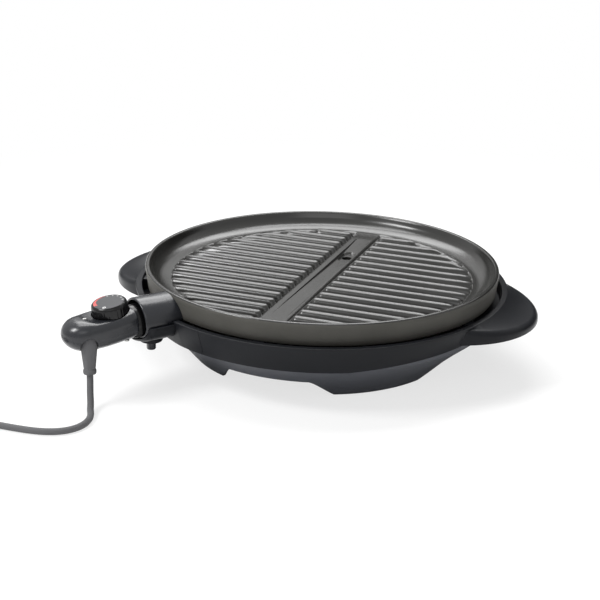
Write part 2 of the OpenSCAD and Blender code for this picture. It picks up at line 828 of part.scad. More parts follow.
// The housing's egg-shaped form, as one closed skin through its cross-sections
module housing_form(inset) {
    n = shell_sides;
    last = len(station) - 1;
    polyhedron(
        points = [for (i = [0 : last]) each section(i, inset)],
        faces = concat(
            [[for (k = [0 : n - 1]) k]],
            [[for (k = [n - 1 : -1 : 0]) last * n + k]],
            [for (i = [0 : last - 1], k = [0 : n - 1])
                [i * n + k, (i + 1) * n + k, (i + 1) * n + (k + 1) % n, i * n + (k + 1) % n]]
        )
    );
}

module control_shell() {
    difference() {
        housing_form(0);
        housing_form(shell_t);
        block_form(control_in - 1, control_in + 6, touch);
    }
}

// The contact block's rounded outline, between two places and grown by a distance
module block_form(x0, x1, grow) {
    intersection() {
        translate([x0, 0, 0]) bar(block_half_w + grow, x1 - x0);
        translate([0, -60, -block_half_h - grow]) cube([400, 120, 2 * (block_half_h + grow)]);
    }
}

// Places children on the knob's leaning axis, z = 0 at the knob's underside
module at_knob() {
    translate([knob_x, 0, knob_base_z - control_z]) rotate([0, knob_lean, 0]) children();
}

// Places children on the strain relief's axis, +Z down and out of the housing
module at_relief() {
    translate(relief_at) rotate([0, 180 - relief_lean, relief_heading]) children();
}

// Places children on each of the housing's screws
module at_shell_screws(z) {
    for (place = shell_screw_places) {
        translate([control_in + place[0], place[1], z]) children();
    }
}

// The half of the control's space below its split, or above it
module below_split() {
    translate([0, -60, -60]) cube([400, 120, 60 + split_z - control_z]);
}

module above_split() {
    translate([0, -60, split_z - control_z + 0.05]) cube([400, 120, 60]);
}

module control_lower_shell() {
    color("dimgray") at_control() difference() {
        union() {
            intersection() {
                control_shell();
                below_split();
            }
            intersection() {
                at_relief() translate([0, 0, -6]) cylinder(r = 9, h = 12);
                housing_form(0);
                below_split();
            }
            intersection() {
                at_shell_screws(-30) cylinder(r = 3.4, h = 30 + split_z - control_z);
                housing_form(0.5);
            }
        }
        at_relief() translate([0, 0, -10]) cylinder(r = 5.5 + touch, h = 40);
        at_relief() translate([0, 0, 0.5]) cylinder(r = relief_top_r + touch, h = 40);
        at_shell_screws(-30) cylinder(r = 1.5 + touch, h = 40);
        at_shell_screws(-30) cylinder(r = 2.9, h = 30 + split_z - control_z - 3);
    }
}

module control_upper_shell() {
    color("dimgray") at_control() difference() {
        union() {
            intersection() {
                control_shell();
                above_split();
            }
            intersection() {
                at_knob() translate([0, 0, -pocket_t - 0.4])
                    cylinder(r = knob_r + knob_room + pocket_t, h = 20);
                housing_form(0);
            }
            intersection() {
                at_shell_screws(split_z - control_z + 0.05) cylinder(r = 3.4, h = 40);
                housing_form(0.5);
            }
        }
        at_knob() translate([0, 0, -0.4]) cylinder(r = knob_r + knob_room, h = 30);
        at_knob() translate([0, 0, -30]) cylinder(r = shaft_r + running, h = 60);
        at_shell_screws(-30) cylinder(r = 1.5, h = 37);
        translate([control_in + lamp_at, 0, 0]) cylinder(r = lamp_r + touch, h = 60);
    }
}

module shell_screws() {
    color("silver") at_control() at_shell_screws(split_z - control_z - 3.1)
        rotate([180, 0, 0]) screw(2.7, 1.45, 9);
}

module contact_block() {
    color("dimgray") at_control() difference() {
        block_form(block_in, block_out, 0);
        for (side = [-1, 1]) {
            translate([block_in - 1, side * pin_half, pin_z - control_z])
                bar(pin_r + 1.1, block_out - block_in - 4);
        }
        translate([block_in - 1, 0, probe_z - control_z]) bar(probe_r + touch, 100);
    }
}

module contact_springs() {
    color("goldenrod") at_control() for (side = [-1, 1]) {
        translate([block_in + 1, side * pin_half, pin_z - control_z]) difference() {
            bar(pin_r + 0.9, block_out - block_in - 7);
            translate([-1, 0, 0]) bar(pin_r + running, block_out - block_in);
        }
    }
}

module temperature_probe() {
    color("silver") at_control() translate([probe_in + 1, 0, probe_z - control_z])
        bar(probe_r, thermostat_in - probe_in - 1);
}

module thermostat() {
    color("ivory") at_control() difference() {
        translate([thermostat_in, -12, thermostat_z - control_z]) cube([30, 24, thermostat_h]);
        at_knob() translate([0, 0, -60]) cylinder(r = shaft_r + running, h = 60);
    }
}

module thermostat_contacts() {
    color("goldenrod") at_control() for (side = [-1, 1]) {
        translate([thermostat_in + 4, side * 13 - 0.5, thermostat_z - control_z + 2]) cube([22, 1, 6]);
    }
}

module knob_shaft() {
    color("silver") at_control() at_knob() difference() {
        translate([0, 0, -shaft_in]) cylinder(r = shaft_r, h = shaft_in + knob_h - 6);
        translate([shaft_r - 1, -shaft_r, 0.1]) cube([4, 2 * shaft_r, knob_h]);
    }
}

module temperature_knob() {
    color("black") at_control() at_knob() difference() {
        rotate_extrude()
            polygon([
                [0, 0.3], [knob_r, 0.3], [knob_r, knob_h - 4], [knob_r - 0.6, knob_h - 2],
                [knob_r - 2.2, knob_h - 0.6], [knob_r - 4.2, knob_h], [0, knob_h]
            ]);
        translate([0, 0, knob_h - dial_t]) cylinder(r = dial_r + touch, h = 10);
        difference() {
            translate([0, 0, -1]) cylinder(r = shaft_r + touch, h = knob_h - 5 + touch);
            translate([shaft_r - 1 + touch, -shaft_r - 1, -2]) cube([4, 2 * shaft_r + 2, 40]);
        }
        for (i = [0 : grip_count - 1]) {
            rotate([0, 0, 360 * i / grip_count]) translate([knob_r + 0.5, 0, -1])
                cylinder(r = 0.9, h = knob_h - 3.5);
        }
    }
}

module knob_dial() {
    color("gray") at_control() at_knob() translate([0, 0, knob_h - dial_t + 0.05])
        cylinder(r = dial_r, h = dial_t - 0.05);
}

module pilot_lamp() {
    color("white") at_control() translate([control_in + lamp_at, 0, 0]) union() {
        cylinder_from_to(lamp_r, lamp_top - 6, lamp_top);
        cylinder_from_to(lamp_r + 1, lamp_top - 6, lamp_top - 4);
    }
}

module cord_clamp() {
    color("ivory") at_control() difference() {
        at_relief() translate([-9, -3.5, -13]) cube([18, 7, 3.8]);
        for (side = [-1, 1]) {
            at_relief() translate([side * 6.5, 0, -20]) cylinder(r = 1.3, h = 20);
        }
    }
}

module cord_clamp_screws() {
    color("silver") at_control() at_relief() for (side = [-1, 1]) {
        translate([side * 6.5, 0, -13]) rotate([180, 0, 0]) screw(2.2, 1.25, 3.7);
    }
}

module strain_relief() {
    color("black") at_control() at_relief() union() {
        cylinder_from_to(7.2, -9, -6.2);
        cylinder_from_to(5.5, -6.3, 1);
        translate([0, 0, 0.8]) cylinder(r1 = relief_top_r, r2 = relief_end_r, h = relief_l - 0.8);
        translate([0, 0, relief_l]) rotate_extrude()
            polygon([
                [0, 0], [relief_end_r - 0.4, 0], [relief_bulge_r, 1.2],
                [relief_bulge_r, relief_bulge_l - 1.4],
                [relief_bulge_r - 1.4, relief_bulge_l], [0, relief_bulge_l]
            ]);
    }
}

// The direction in which the cord runs at a point of a route
function heading(route, i) =
    let (a = route[max(i - 1, 0)], b = route[min(i + 1, len(route) - 1)])
    (b - a) / norm(b - a);

// A ring of points round the cord at one point of a route
function cord_ring(route, i) =
    let (along = heading(route, i))
    let (side = cross(along, [0.02, 0.01, 1]) / norm(cross(along, [0.02, 0.01, 1])))
    let (over = cross(side, along))
    [for (k = [0 : cord_sides - 1])
        let (a = 360 * k / cord_sides)
        route[i] + cord_r * (cos(a) * side + sin(a) * over)];

// The cord as one tube swept along a route
module cord_tube(route) {
    n = cord_sides;
    last = len(route) - 1;
    polyhedron(
        points = [for (i = [0 : last]) each cord_ring(route, i)],
        faces = concat(
            [[for (k = [0 : n - 1]) k]],
            [[for (k = [n - 1 : -1 : 0]) last * n + k]],
            [for (i = [0 : last - 1], k = [0 : n - 1])
                [i * n + k, (i + 1) * n + k, (i + 1) * n + (k + 1) % n, i * n + (k + 1) % n]]
        )
    );
}

module mains_cord() {
    color("black") at_axis() {
        cord_tube(cord_route);
        cord_tube(tail_route);
    }
}

module cord_coil() {
    color("black") at_axis() translate(coil_at) rotate_extrude()
        polygon([
            [coil_in_r, 2], [coil_in_r + 2, 0], [coil_out_r - 2, 0], [coil_out_r, 2],
            [coil_out_r, coil_h - 2], [coil_out_r - 2, coil_h], [coil_in_r + 2, coil_h],
            [coil_in_r, coil_h - 2]
        ]);
}

module coil_tie() {
    w = coil_out_r - coil_in_r;
    color("black") at_axis() translate(coil_at) rotate([0, 0, 90])
        translate([coil_in_r - 1.2, -3, 0]) difference() {
            cube([w + 2.4, 6, coil_h + 1.2]);
            translate([1, -1, 1]) cube([w + 0.4, 8, coil_h - 0.8]);
        }
}

module plug_body() {
    color("black") at_axis() translate(plug_at) rotate([plug_lean - 90, 0, 0]) union() {
        rotate_extrude()
            polygon([
                [0, 0], [plug_neck_r - 1, 0], [plug_neck_r, 8], [plug_neck_r + 2, 14], [plug_face_r - 4, 22],
                [plug_face_r, 30], [plug_face_r, plug_l - 1], [plug_face_r - 1, plug_l], [0, plug_l]
            ]);
    }
}

module plug_pins() {
    color("silver") at_axis() translate(plug_at) rotate([plug_lean - 90, 0, 0]) for (side = [-1, 1]) {
        translate([side * plug_pin_half, 0, plug_l]) union() {
            cylinder(r = plug_pin_r, h = plug_pin_l - plug_pin_r);
            translate([0, 0, plug_pin_l - plug_pin_r]) sphere(r = plug_pin_r);
        }
    }
}

lower_housing();
upper_housing();
control_cradle();
foot_pads();
housing_screws();
heat_shield();
grip_cover_right();
grip_cover_left();
grip_screws();
release_button();
button_spring();
spring_cup();
drip_tray();
grill_plate();
heating_element();
element_clips();
control_collar();
collar_screws();
terminal_pins();
terminal_insulators();
probe_guide();
control_lower_shell();
control_upper_shell();
shell_screws();
contact_block();
contact_springs();
temperature_probe();
thermostat();
thermostat_contacts();
knob_shaft();
temperature_knob();
knob_dial();
pilot_lamp();
cord_clamp();
cord_clamp_screws();
strain_relief();
mains_cord();
cord_coil();
coil_tie();
plug_body();
plug_pins();
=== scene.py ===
"""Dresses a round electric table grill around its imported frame.

Lengths inside the classes are millimetres in the frame of the plate's axis, and are carried into
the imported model's metres when a mesh is made. +X runs through the two handles and -Y is the front.
"""
import logging
import math
from dataclasses import dataclass
from enum import Enum
from functools import cache, partial
from typing import Iterable, Optional, Sequence

import bmesh
import bpy
import numpy as np
from mathutils import Matrix, Vector


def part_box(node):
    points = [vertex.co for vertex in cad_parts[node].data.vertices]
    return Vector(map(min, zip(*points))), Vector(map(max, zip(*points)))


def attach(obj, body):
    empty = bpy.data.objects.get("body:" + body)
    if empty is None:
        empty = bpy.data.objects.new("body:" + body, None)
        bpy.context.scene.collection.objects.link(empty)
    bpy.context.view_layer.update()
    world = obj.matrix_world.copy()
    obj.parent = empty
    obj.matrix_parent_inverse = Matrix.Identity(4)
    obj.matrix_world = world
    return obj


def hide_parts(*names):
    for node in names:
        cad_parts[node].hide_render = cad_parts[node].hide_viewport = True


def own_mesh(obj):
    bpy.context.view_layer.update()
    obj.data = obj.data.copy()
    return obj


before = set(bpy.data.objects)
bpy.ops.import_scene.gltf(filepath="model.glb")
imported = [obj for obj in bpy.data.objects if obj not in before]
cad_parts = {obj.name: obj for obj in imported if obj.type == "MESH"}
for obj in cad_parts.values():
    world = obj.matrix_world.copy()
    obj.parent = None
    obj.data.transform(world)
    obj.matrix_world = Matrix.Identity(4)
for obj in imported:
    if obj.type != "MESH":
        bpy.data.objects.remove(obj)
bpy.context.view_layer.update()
LOG = logging.getLogger("grill")
MM = 0.001
MERGE = 2e-6
FULL = 2 * math.pi
WHITE = (1, 1, 1, 1)
HERE = Matrix.Identity(4)
TRAY_LOW, TRAY_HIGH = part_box("drip_tray")
AXIS_Y = (TRAY_LOW.y + TRAY_HIGH.y) / 2 / MM
Point = tuple[float, float, float]
Spot = tuple[float, float, float, float]
Ring = list[tuple[float, float]]
Curve = tuple[tuple[float, float], ...]
Piece = bpy.types.Object
Socket = bpy.types.NodeSocket


class Body(Enum):
    """The rigid bodies that pieces ride on."""

    BASE = "base"
    BUTTON = "button"
    PLATE = "plate"
    CONTROL = "control"
    KNOB = "knob"


# ---------------------------------------------------------------- places and sizes


def turn(axis: str, degrees: float) -> Matrix:
    """Gives a 4x4 turning about an axis."""
    return Matrix.Rotation(math.radians(degrees), 4, axis)


def move(x: float, y: float, z: float) -> Matrix:
    """Gives a 4x4 move in millimetres."""
    return Matrix.Translation((x, y, z))


@dataclass(frozen=True)
class Grill:
    """The sizes that several pieces share, in millimetres and degrees."""

    valley_z: float = 79.9
    crest_z: float = 86.0
    under_z: float = 75.0
    ring_top: float = 77.7
    ring_foot: float = 202.5
    ring_low: float = 48.0
    ring_climb: float = 0.1
    ring_draft: float = 0.296
    level_half: float = 95.0
    flange_r: float = 202.0
    gap_half: float = 18.05
    handle_x: float = 155.0
    handle_r: float = 93.5
    handle_low: float = 59.0
    crease_x: float = 187.0
    handle_fall: float = 8.5 / 61.5
    floor_z: float = 22.0
    control_turn: float = -125.5
    control_z: float = 74.0
    knob_x: float = 267.0
    knob_up: float = 14.0
    knob_lean: float = 10.0
    split: float = -10.0


SIZE = Grill()
PLATE = move(0, AXIS_Y, 0)
CONTROL = PLATE @ turn("Z", SIZE.control_turn) @ move(0, 0, SIZE.control_z)
KNOB = CONTROL @ move(SIZE.knob_x, 0, SIZE.knob_up) @ turn("Y", SIZE.knob_lean)
RELIEF = CONTROL @ move(299.2, 12.5, -10) @ turn("Z", 65) @ turn("Y", 174.3)
PLUG = PLATE @ move(-353.5, -245, 8.4) @ turn("X", -70)


# ---------------------------------------------------------------- shape helpers


def carry(points: Sequence, place: Matrix) -> np.ndarray:
    """Carries millimetre points from a place into the frame's metres."""
    m = np.array(place)
    return (np.asarray(points, float) @ m[:3, :3].T + m[:3, 3]) * MM


def rounded(corners: Sequence[Point], steps: int) -> Ring:
    """Rounds the corners of a closed outline.

    Args:
        corners: Points as (x, y, radius).
        steps: How many pieces each rounding gets.

    Returns:
        The outline's points in order.
    """
    out: Ring = []
    for i, (x, y, radius) in enumerate(corners):
        here = np.array([x, y])
        before = np.array(corners[i - 1][:2]) - here
        after = np.array(corners[(i + 1) % len(corners)][:2]) - here
        lb, la = np.linalg.norm(before), np.linalg.norm(after)
        if radius <= 0:
            out.append((x, y))
            continue
        cosine = float(np.clip(before @ after / lb / la, -1, 1))
        reach = min(radius / max(math.tan(math.acos(cosine) / 2), 1e-3), 0.48 * lb, 0.48 * la)
        a, b = here + before / lb * reach, here + after / la * reach
        for t in np.linspace(0, 1, steps + 1):
            p = (1 - t) ** 2 * a + 2 * t * (1 - t) * here + t * t * b
            out.append((float(p[0]), float(p[1])))
    return out


def smooth_step(t: np.ndarray | float) -> np.ndarray | float:
    """Gives a soft 0 to 1 step for t from 0 to 1."""
    t = np.clip(t, 0, 1)
    return t * t * (3 - 2 * t)


def curve(at: np.ndarray | float, *pairs: tuple[float, float]) -> np.ndarray | float:
    """Reads a smooth curve without overshoot.

    Args:
        at: Places to read; beyond the ends the curve stays level.
        pairs: The curve's points as (place, value), in rising order.

    Returns:
        The curve's values there.
    """
    x, y = np.array(pairs, float).T
    h, d = np.diff(x), np.diff(y) / np.diff(x)
    m = np.zeros_like(y)
    same = d[:-1] * d[1:] > 0
    w1, w2 = 2 * h[1:] + h[:-1], h[1:] + 2 * h[:-1]
    safe_a, safe_b = np.where(same, d[:-1], 1), np.where(same, d[1:], 1)
    m[1:-1] = np.where(same, (w1 + w2) / (w1 / safe_a + w2 / safe_b), 0)
    m[0], m[-1] = d[0], d[-1]
    i = np.clip(np.searchsorted(x, at) - 1, 0, len(h) - 1)
    t = np.clip((np.asarray(at, float) - x[i]) / h[i], 0, 1)
    return (y[i] * (1 + 2 * t) * (1 - t) ** 2 + m[i] * h[i] * t * (1 - t) ** 2
            + y[i + 1] * t * t * (3 - 2 * t) + m[i + 1] * h[i] * t * t * (t - 1))


def quarter(wide: float, high: float, power: float, count: int = 24) -> np.ndarray:
    """Gives a quarter of a superellipse in even steps, from its side to its top.

    Args:
        wide: Half its width.
        high: Its height.
        power: How square it is; 2 is an ellipse.
        count: How many points it gets.

    Returns:
        The points, without the last one at the top.
    """
    t = np.linspace(0, math.pi / 2, 240)
    arc = np.stack([wide * np.cos(t) ** (2 / power), high * np.sin(t) ** (2 / power)], 1)
    run = np.concatenate([[0], np.cumsum(np.linalg.norm(np.diff(arc, axis=0), axis=1))])
    even = np.linspace(0, run[-1], count + 1)[:-1]
    return np.stack([np.interp(even, run, arc[:, 0]), np.interp(even, run, arc[:, 1])], 1)


def around(outline: Ring, angle: float) -> np.ndarray:
    """Stands an outline of (radius, height) up at an angle in degrees."""
    a = math.radians(angle)
    return np.array([(r * math.cos(a), r * math.sin(a), z) for r, z in outline])


def spots(radius: float, angles: Iterable[float], height: float) -> list[Spot]:
    """Gives places on a circle that face outwards, as (x, y, z, turn in degrees)."""
    return [(*around([(radius, height)], a)[0], a) for a in angles]


class Form:
    """Points and faces that are gathered before they become one mesh."""

    def __init__(self) -> None:
        """Starts empty."""
        self.points: list[np.ndarray] = []
        self.faces: list[tuple[int, ...]] = []
        self.count = 0

    def add(self, points: np.ndarray, faces: Iterable[Sequence[int]]) -> "Form":
        """Adds points and the faces between them.

        Args:
            points: An array of points in millimetres.
            faces: Faces as numbers of the new points.

        Returns:
            The form itself.
        """
        self.points.append(np.asarray(points, float))
        self.faces += [tuple(self.count + k for k in f) for f in faces]
        self.count += len(points)
        return self

    def lathe(self, outline: Ring, steps: int, at: Matrix = HERE) -> "Form":
        """Spins a closed outline of (radius, height) about Z.

        Args:
            outline: The outline, counter-clockwise; radius 0 makes a pole.
            steps: Pieces round the axis.
            at: Where the axis stands within the form.

        Returns:
            The form itself.
        """
        points: list[Point] = []
        rows: list[list[int]] = []
        for r, z in outline:
            first = len(points)
            if r < 1e-6:
                rows.append([first] * steps)
                points.append((0.0, 0.0, z))
            else:
                rows.append(list(range(first, first + steps)))
                points += [(r * math.cos(a), r * math.sin(a), z) for a in np.arange(steps) * FULL / steps]
        faces = []
        for low, high in zip(rows, rows[1:] + rows[:1]):
            for k in range(steps):
                j = (k + 1) % steps
                face = list(dict.fromkeys((low[k], low[j], high[j], high[k])))
                if len(face) > 2:
                    faces.append(face)
        return self.add(carry(points, at) / MM, faces)

    def loft(self, rings: Sequence, closed_round: bool = False, caps: bool = True) -> "Form":
        """Joins closed rings of points one after another.

        Args:
            rings: An array of shape (rings, points, 3).
            closed_round: Whether the last ring joins the first.
            caps: Whether the two ends are closed.

        Returns:
            The form itself.
        """
        rings = np.array(rings)
        n, m = rings.shape[:2]
        faces: list[list[int]] = []
        for i in range(n if closed_round else n - 1):
            j = (i + 1) % n
            faces += [[i * m + k, i * m + (k + 1) % m, j * m + (k + 1) % m, j * m + k] for k in range(m)]
        if caps and not closed_round:
            faces += [list(range(m - 1, -1, -1)), list(range((n - 1) * m, n * m))]
        return self.add(rings.reshape(-1, 3), faces)

    def make(self, name: str, place: Matrix, sharp: float = 35.0) -> Piece:
        """Makes one smooth-shaded mesh object, with doubles merged and normals turned outwards.

        Args:
            name: The piece's name.
            place: The place that its points are in.
            sharp: The angle in degrees over which an edge stays crisp.

        Returns:
            The new object, at the origin.
        """
        mesh = bpy.data.meshes.new(name)
        mesh.from_pydata(carry(np.concatenate(self.points), place).tolist(), [], self.faces)
        cleaned(mesh, False)
        return shaded(link(bpy.data.objects.new(name, mesh)), sharp)


def cleaned(mesh: bpy.types.Mesh, flat: bool) -> None:
    """Merges a mesh's doubles, and tidies its faces.

    Args:
        mesh: The mesh.
        flat: Whether flat faces are joined, or normals turned outwards.
    """
    work = bmesh.new()
    work.from_mesh(mesh)
    bmesh.ops.remove_doubles(work, verts=work.verts, dist=MERGE)
    if flat:
        bmesh.ops.dissolve_limit(work, angle_limit=math.radians(1), verts=work.verts, edges=work.edges)
    else:
        bmesh.ops.recalc_face_normals(work, faces=work.faces)
    work.to_mesh(mesh)
    work.free()


def link(piece: Piece) -> Piece:
    """Puts an object in the scene."""
    bpy.context.scene.collection.objects.link(piece)
    return piece


def shaded(piece: Piece, sharp: float) -> Piece:
    """Shades a piece smooth, with some crisp edges.

    Args:
        piece: The piece.
        sharp: The angle in degrees over which an edge stays crisp.

    Returns:
        The same piece.
    """
    mesh = piece.data
    mesh.polygons.foreach_set("use_smooth", [True] * len(mesh.polygons))
    mesh.set_sharp_from_angle(angle=math.radians(sharp))
    mesh.update()
    return piece


def baked(piece: Piece, sharp: float = 35.0) -> Piece:
    """Applies a piece's modifiers.

    Args:
        piece: An object with modifiers.
        sharp: The angle over which an edge stays crisp.

    Returns:
        The same object with a plain mesh.
    """
    graph = bpy.context.evaluated_depsgraph_get()
    graph.update()
    mesh = bpy.data.meshes.new_from_object(piece.evaluated_get(graph))
    old = piece.data
    piece.modifiers.clear()
    piece.data = mesh
    mesh.name = piece.name
    bpy.data.meshes.remove(old)
    return shaded(piece, sharp)


def carved(piece: Piece, cutters: Sequence[Piece], sharp: float = 35.0,
           operation: str = "DIFFERENCE") -> Piece:
    """Cuts or joins other solids into a piece, and removes them.

    Args:
        piece: The solid that is kept.
        cutters: The solids that are used up.
        sharp: The angle over which an edge stays crisp.
        operation: DIFFERENCE, UNION or INTERSECT.

    Returns:
        The piece.
    """
    for cutter in cutters:
        cut = piece.modifiers.new("cut", "BOOLEAN")
        cut.operation, cut.object, cut.solver = operation, cutter, "EXACT"
    baked(piece, sharp)
    for cutter in cutters:
        bpy.data.objects.remove(cutter)
    return piece


def softened(piece: Piece, width: float, sharp: float = 35.0) -> Piece:
    """Softens a piece's edges.

    Args:
        piece: The piece.
        width: Width of the softened edges in millimetres.
        sharp: The angle over which an edge stays crisp.

    Returns:
        The same piece.
    """
    soft = piece.modifiers.new("soft", "BEVEL")
    soft.width, soft.segments, soft.limit_method = width * MM, 2, "ANGLE"
    soft.angle_limit = math.radians(40)
    return baked(piece, sharp)


def merged_copy(node: str, sharp: float = 30.0) -> Piece:
    """Copies a CAD node and merges its loose triangles.

    Args:
        node: The node's name.
        sharp: The angle over which an edge stays crisp.

    Returns:
        The copy.
    """
    piece = link(bpy.data.objects.new(node + "_dressed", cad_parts[node].data.copy()))
    cleaned(piece.data, True)
    return shaded(piece, sharp)


def spun(name: str, outline: Ring, steps: int, place: Matrix, at: Matrix = HERE,
         sharp: float = 35.0) -> Piece:
    """Makes a piece by spinning a closed outline of (radius, height) about Z."""
    return Form().lathe(outline, steps, at).make(name, place, sharp)


def rod(name: str, radius: float, low: float, high: float, steps: int, place: Matrix,
        at: Matrix = HERE) -> Piece:
    """Makes a round rod between two heights."""
    return spun(name, [(0, low), (radius, low), (radius, high), (0, high)], steps, place, at)


def lofted(name: str, rings: Sequence, place: Matrix, sharp: float = 35.0,
           closed_round: bool = False) -> Piece:
    """Makes a piece by joining closed rings of points one after another."""
    return Form().loft(rings, closed_round).make(name, place, sharp)


def drawn(outline: Ring, *levels: float) -> list[list[Point]]:
    """Gives the rings of an outline of (x, y) at some heights."""
    return [[(x, y, z) for x, y in outline] for z in levels]


def block(name: str, low: Point, high: Point, place: Matrix = HERE) -> Piece:
    """Makes a box between two corners."""
    outline = [(low[0], low[1]), (high[0], low[1]), (high[0], high[1]), (low[0], high[1])]
    return lofted(name, drawn(outline, low[2], high[2]), place)


# ---------------------------------------------------------------- node trees


class Wiring:
    """A node tree that is wired up step by step."""

    def __init__(self, tree: bpy.types.NodeTree, empty: bool = False) -> None:
        """Takes up a tree.

        Args:
            tree: The node tree.
            empty: Whether its nodes are cleared first.
        """
        self.tree = tree
        if empty:
            tree.nodes.clear()

    @classmethod
    def group(cls, kind: str, name: str, inputs: dict[str, object], outputs: dict[str, object]) -> "Wiring":
        """Starts a node group with named sockets.

        Args:
            kind: Shader or Geometry.
            name: The group's name.
            inputs: The default value of each input, or its socket type.
            outputs: The socket type of each output.

        Returns:
            The wiring, with the sockets inside the group as given and end.
        """
        wiring = cls(bpy.data.node_groups.new(name, kind + "NodeTree"))
        for side, sockets in (("INPUT", inputs), ("OUTPUT", outputs)):
            for label, value in sockets.items():
                plain = {float: "Float", tuple: "Color"}.get(type(value))
                socket = wiring.tree.interface.new_socket(
                    label, in_out=side, socket_type=f"NodeSocket{plain or value}")
                if plain:
                    socket.default_value = value
        wiring.given = wiring.tree.nodes.new("NodeGroupInput").outputs
        wiring.end = wiring.tree.nodes.new("NodeGroupOutput").inputs
        return wiring

    def wire(self, inputs: bpy.types.bpy_prop_collection, values: dict) -> None:
        """Links sockets to inputs, or sets these to plain values.

        Args:
            inputs: The inputs of a node or group.
            values: Values or sockets by input name or number.
        """
        for key, value in values.items():
            if isinstance(value, Socket):
                self.tree.links.new(value, inputs[key])
            else:
                inputs[key].default_value = value

    def node(self, kind: str, values: Optional[dict] = None, **settings: object) -> bpy.types.Node:
        """Adds a node.

        Args:
            kind: Blender's name of the node.
            values: Values or sockets by input name or number.
            settings: The node's own settings.

        Returns:
            The node.
        """
        node = self.tree.nodes.new(kind)
        for key, value in settings.items():
            setattr(node, key, value)
        self.wire(node.inputs, values or {})
        return node

    def maths(self, operation: str, *values: object) -> Socket:
        """Adds a Math node and returns its output."""
        return self.node("ShaderNodeMath", dict(enumerate(values)), operation=operation).outputs[0]

    def vector(self, operation: str, *values: object) -> Socket:
        """Adds a Vector Math node and returns its vector."""
        return self.node("ShaderNodeVectorMath", dict(enumerate(values)), operation=operation).outputs[0]

    def length(self, value: Socket) -> Socket:
        """Gives a vector's length."""
        return self.node("ShaderNodeVectorMath", {0: value}, operation="LENGTH").outputs["Value"]

    def place(self) -> Socket:
        """Gives the point on the object that is shaded."""
        return self.node("ShaderNodeTexCoord").outputs["Object"]


def new_material(name: str) -> bpy.types.Material:
    """Makes a material with nodes.

    Args:
        name: Its name.

    Returns:
        The material.
    """
    material = bpy.data.materials.new(name)
    material.use_nodes = True
    return material


# ---------------------------------------------------------------- camera, light and floor


@dataclass(frozen=True)
class Viewpoint:
    """The camera's place, in millimetres and degrees round the plate's axis."""

    heading: float = 20.266
    tilt: float = 20.176
    roll: float = 1.148
    stand: Point = (-24.393, -1536.112, 617.196)
    lens: float = 85.533

    def make(self) -> Piece:
        """Makes the scene's camera.

        Returns:
            The camera.
        """
        data = bpy.data.cameras.new("viewpoint")
        data.lens, data.sensor_width = self.lens, 36.0
        camera = link(bpy.data.objects.new("viewpoint", data))
        place = PLATE @ turn("Z", self.heading) @ move(*self.stand)
        place = place @ turn("X", 90 - self.tilt) @ turn("Z", self.roll)
        place.translation *= MM
        camera.matrix_world = place
        bpy.context.scene.camera = camera
        return camera


@dataclass(frozen=True)
class Lamp:
    """One soft rectangular lamp, in metres and watts."""

    name: str
    stand: Point
    aim: Point
    size: tuple[float, float]
    power: float

    def make(self) -> Piece:
        """Makes the lamp.

        Returns:
            The lamp.
        """
        data = bpy.data.lights.new(self.name, "AREA")
        data.shape, data.size, data.size_y = "RECTANGLE", *self.size
        data.energy = self.power
        lamp = link(bpy.data.objects.new(self.name, data))
        way = Vector(self.aim) - Vector(self.stand)
        lamp.matrix_world = Matrix.Translation(self.stand) @ way.to_track_quat("-Z", "Y").to_matrix().to_4x4()
        return lamp


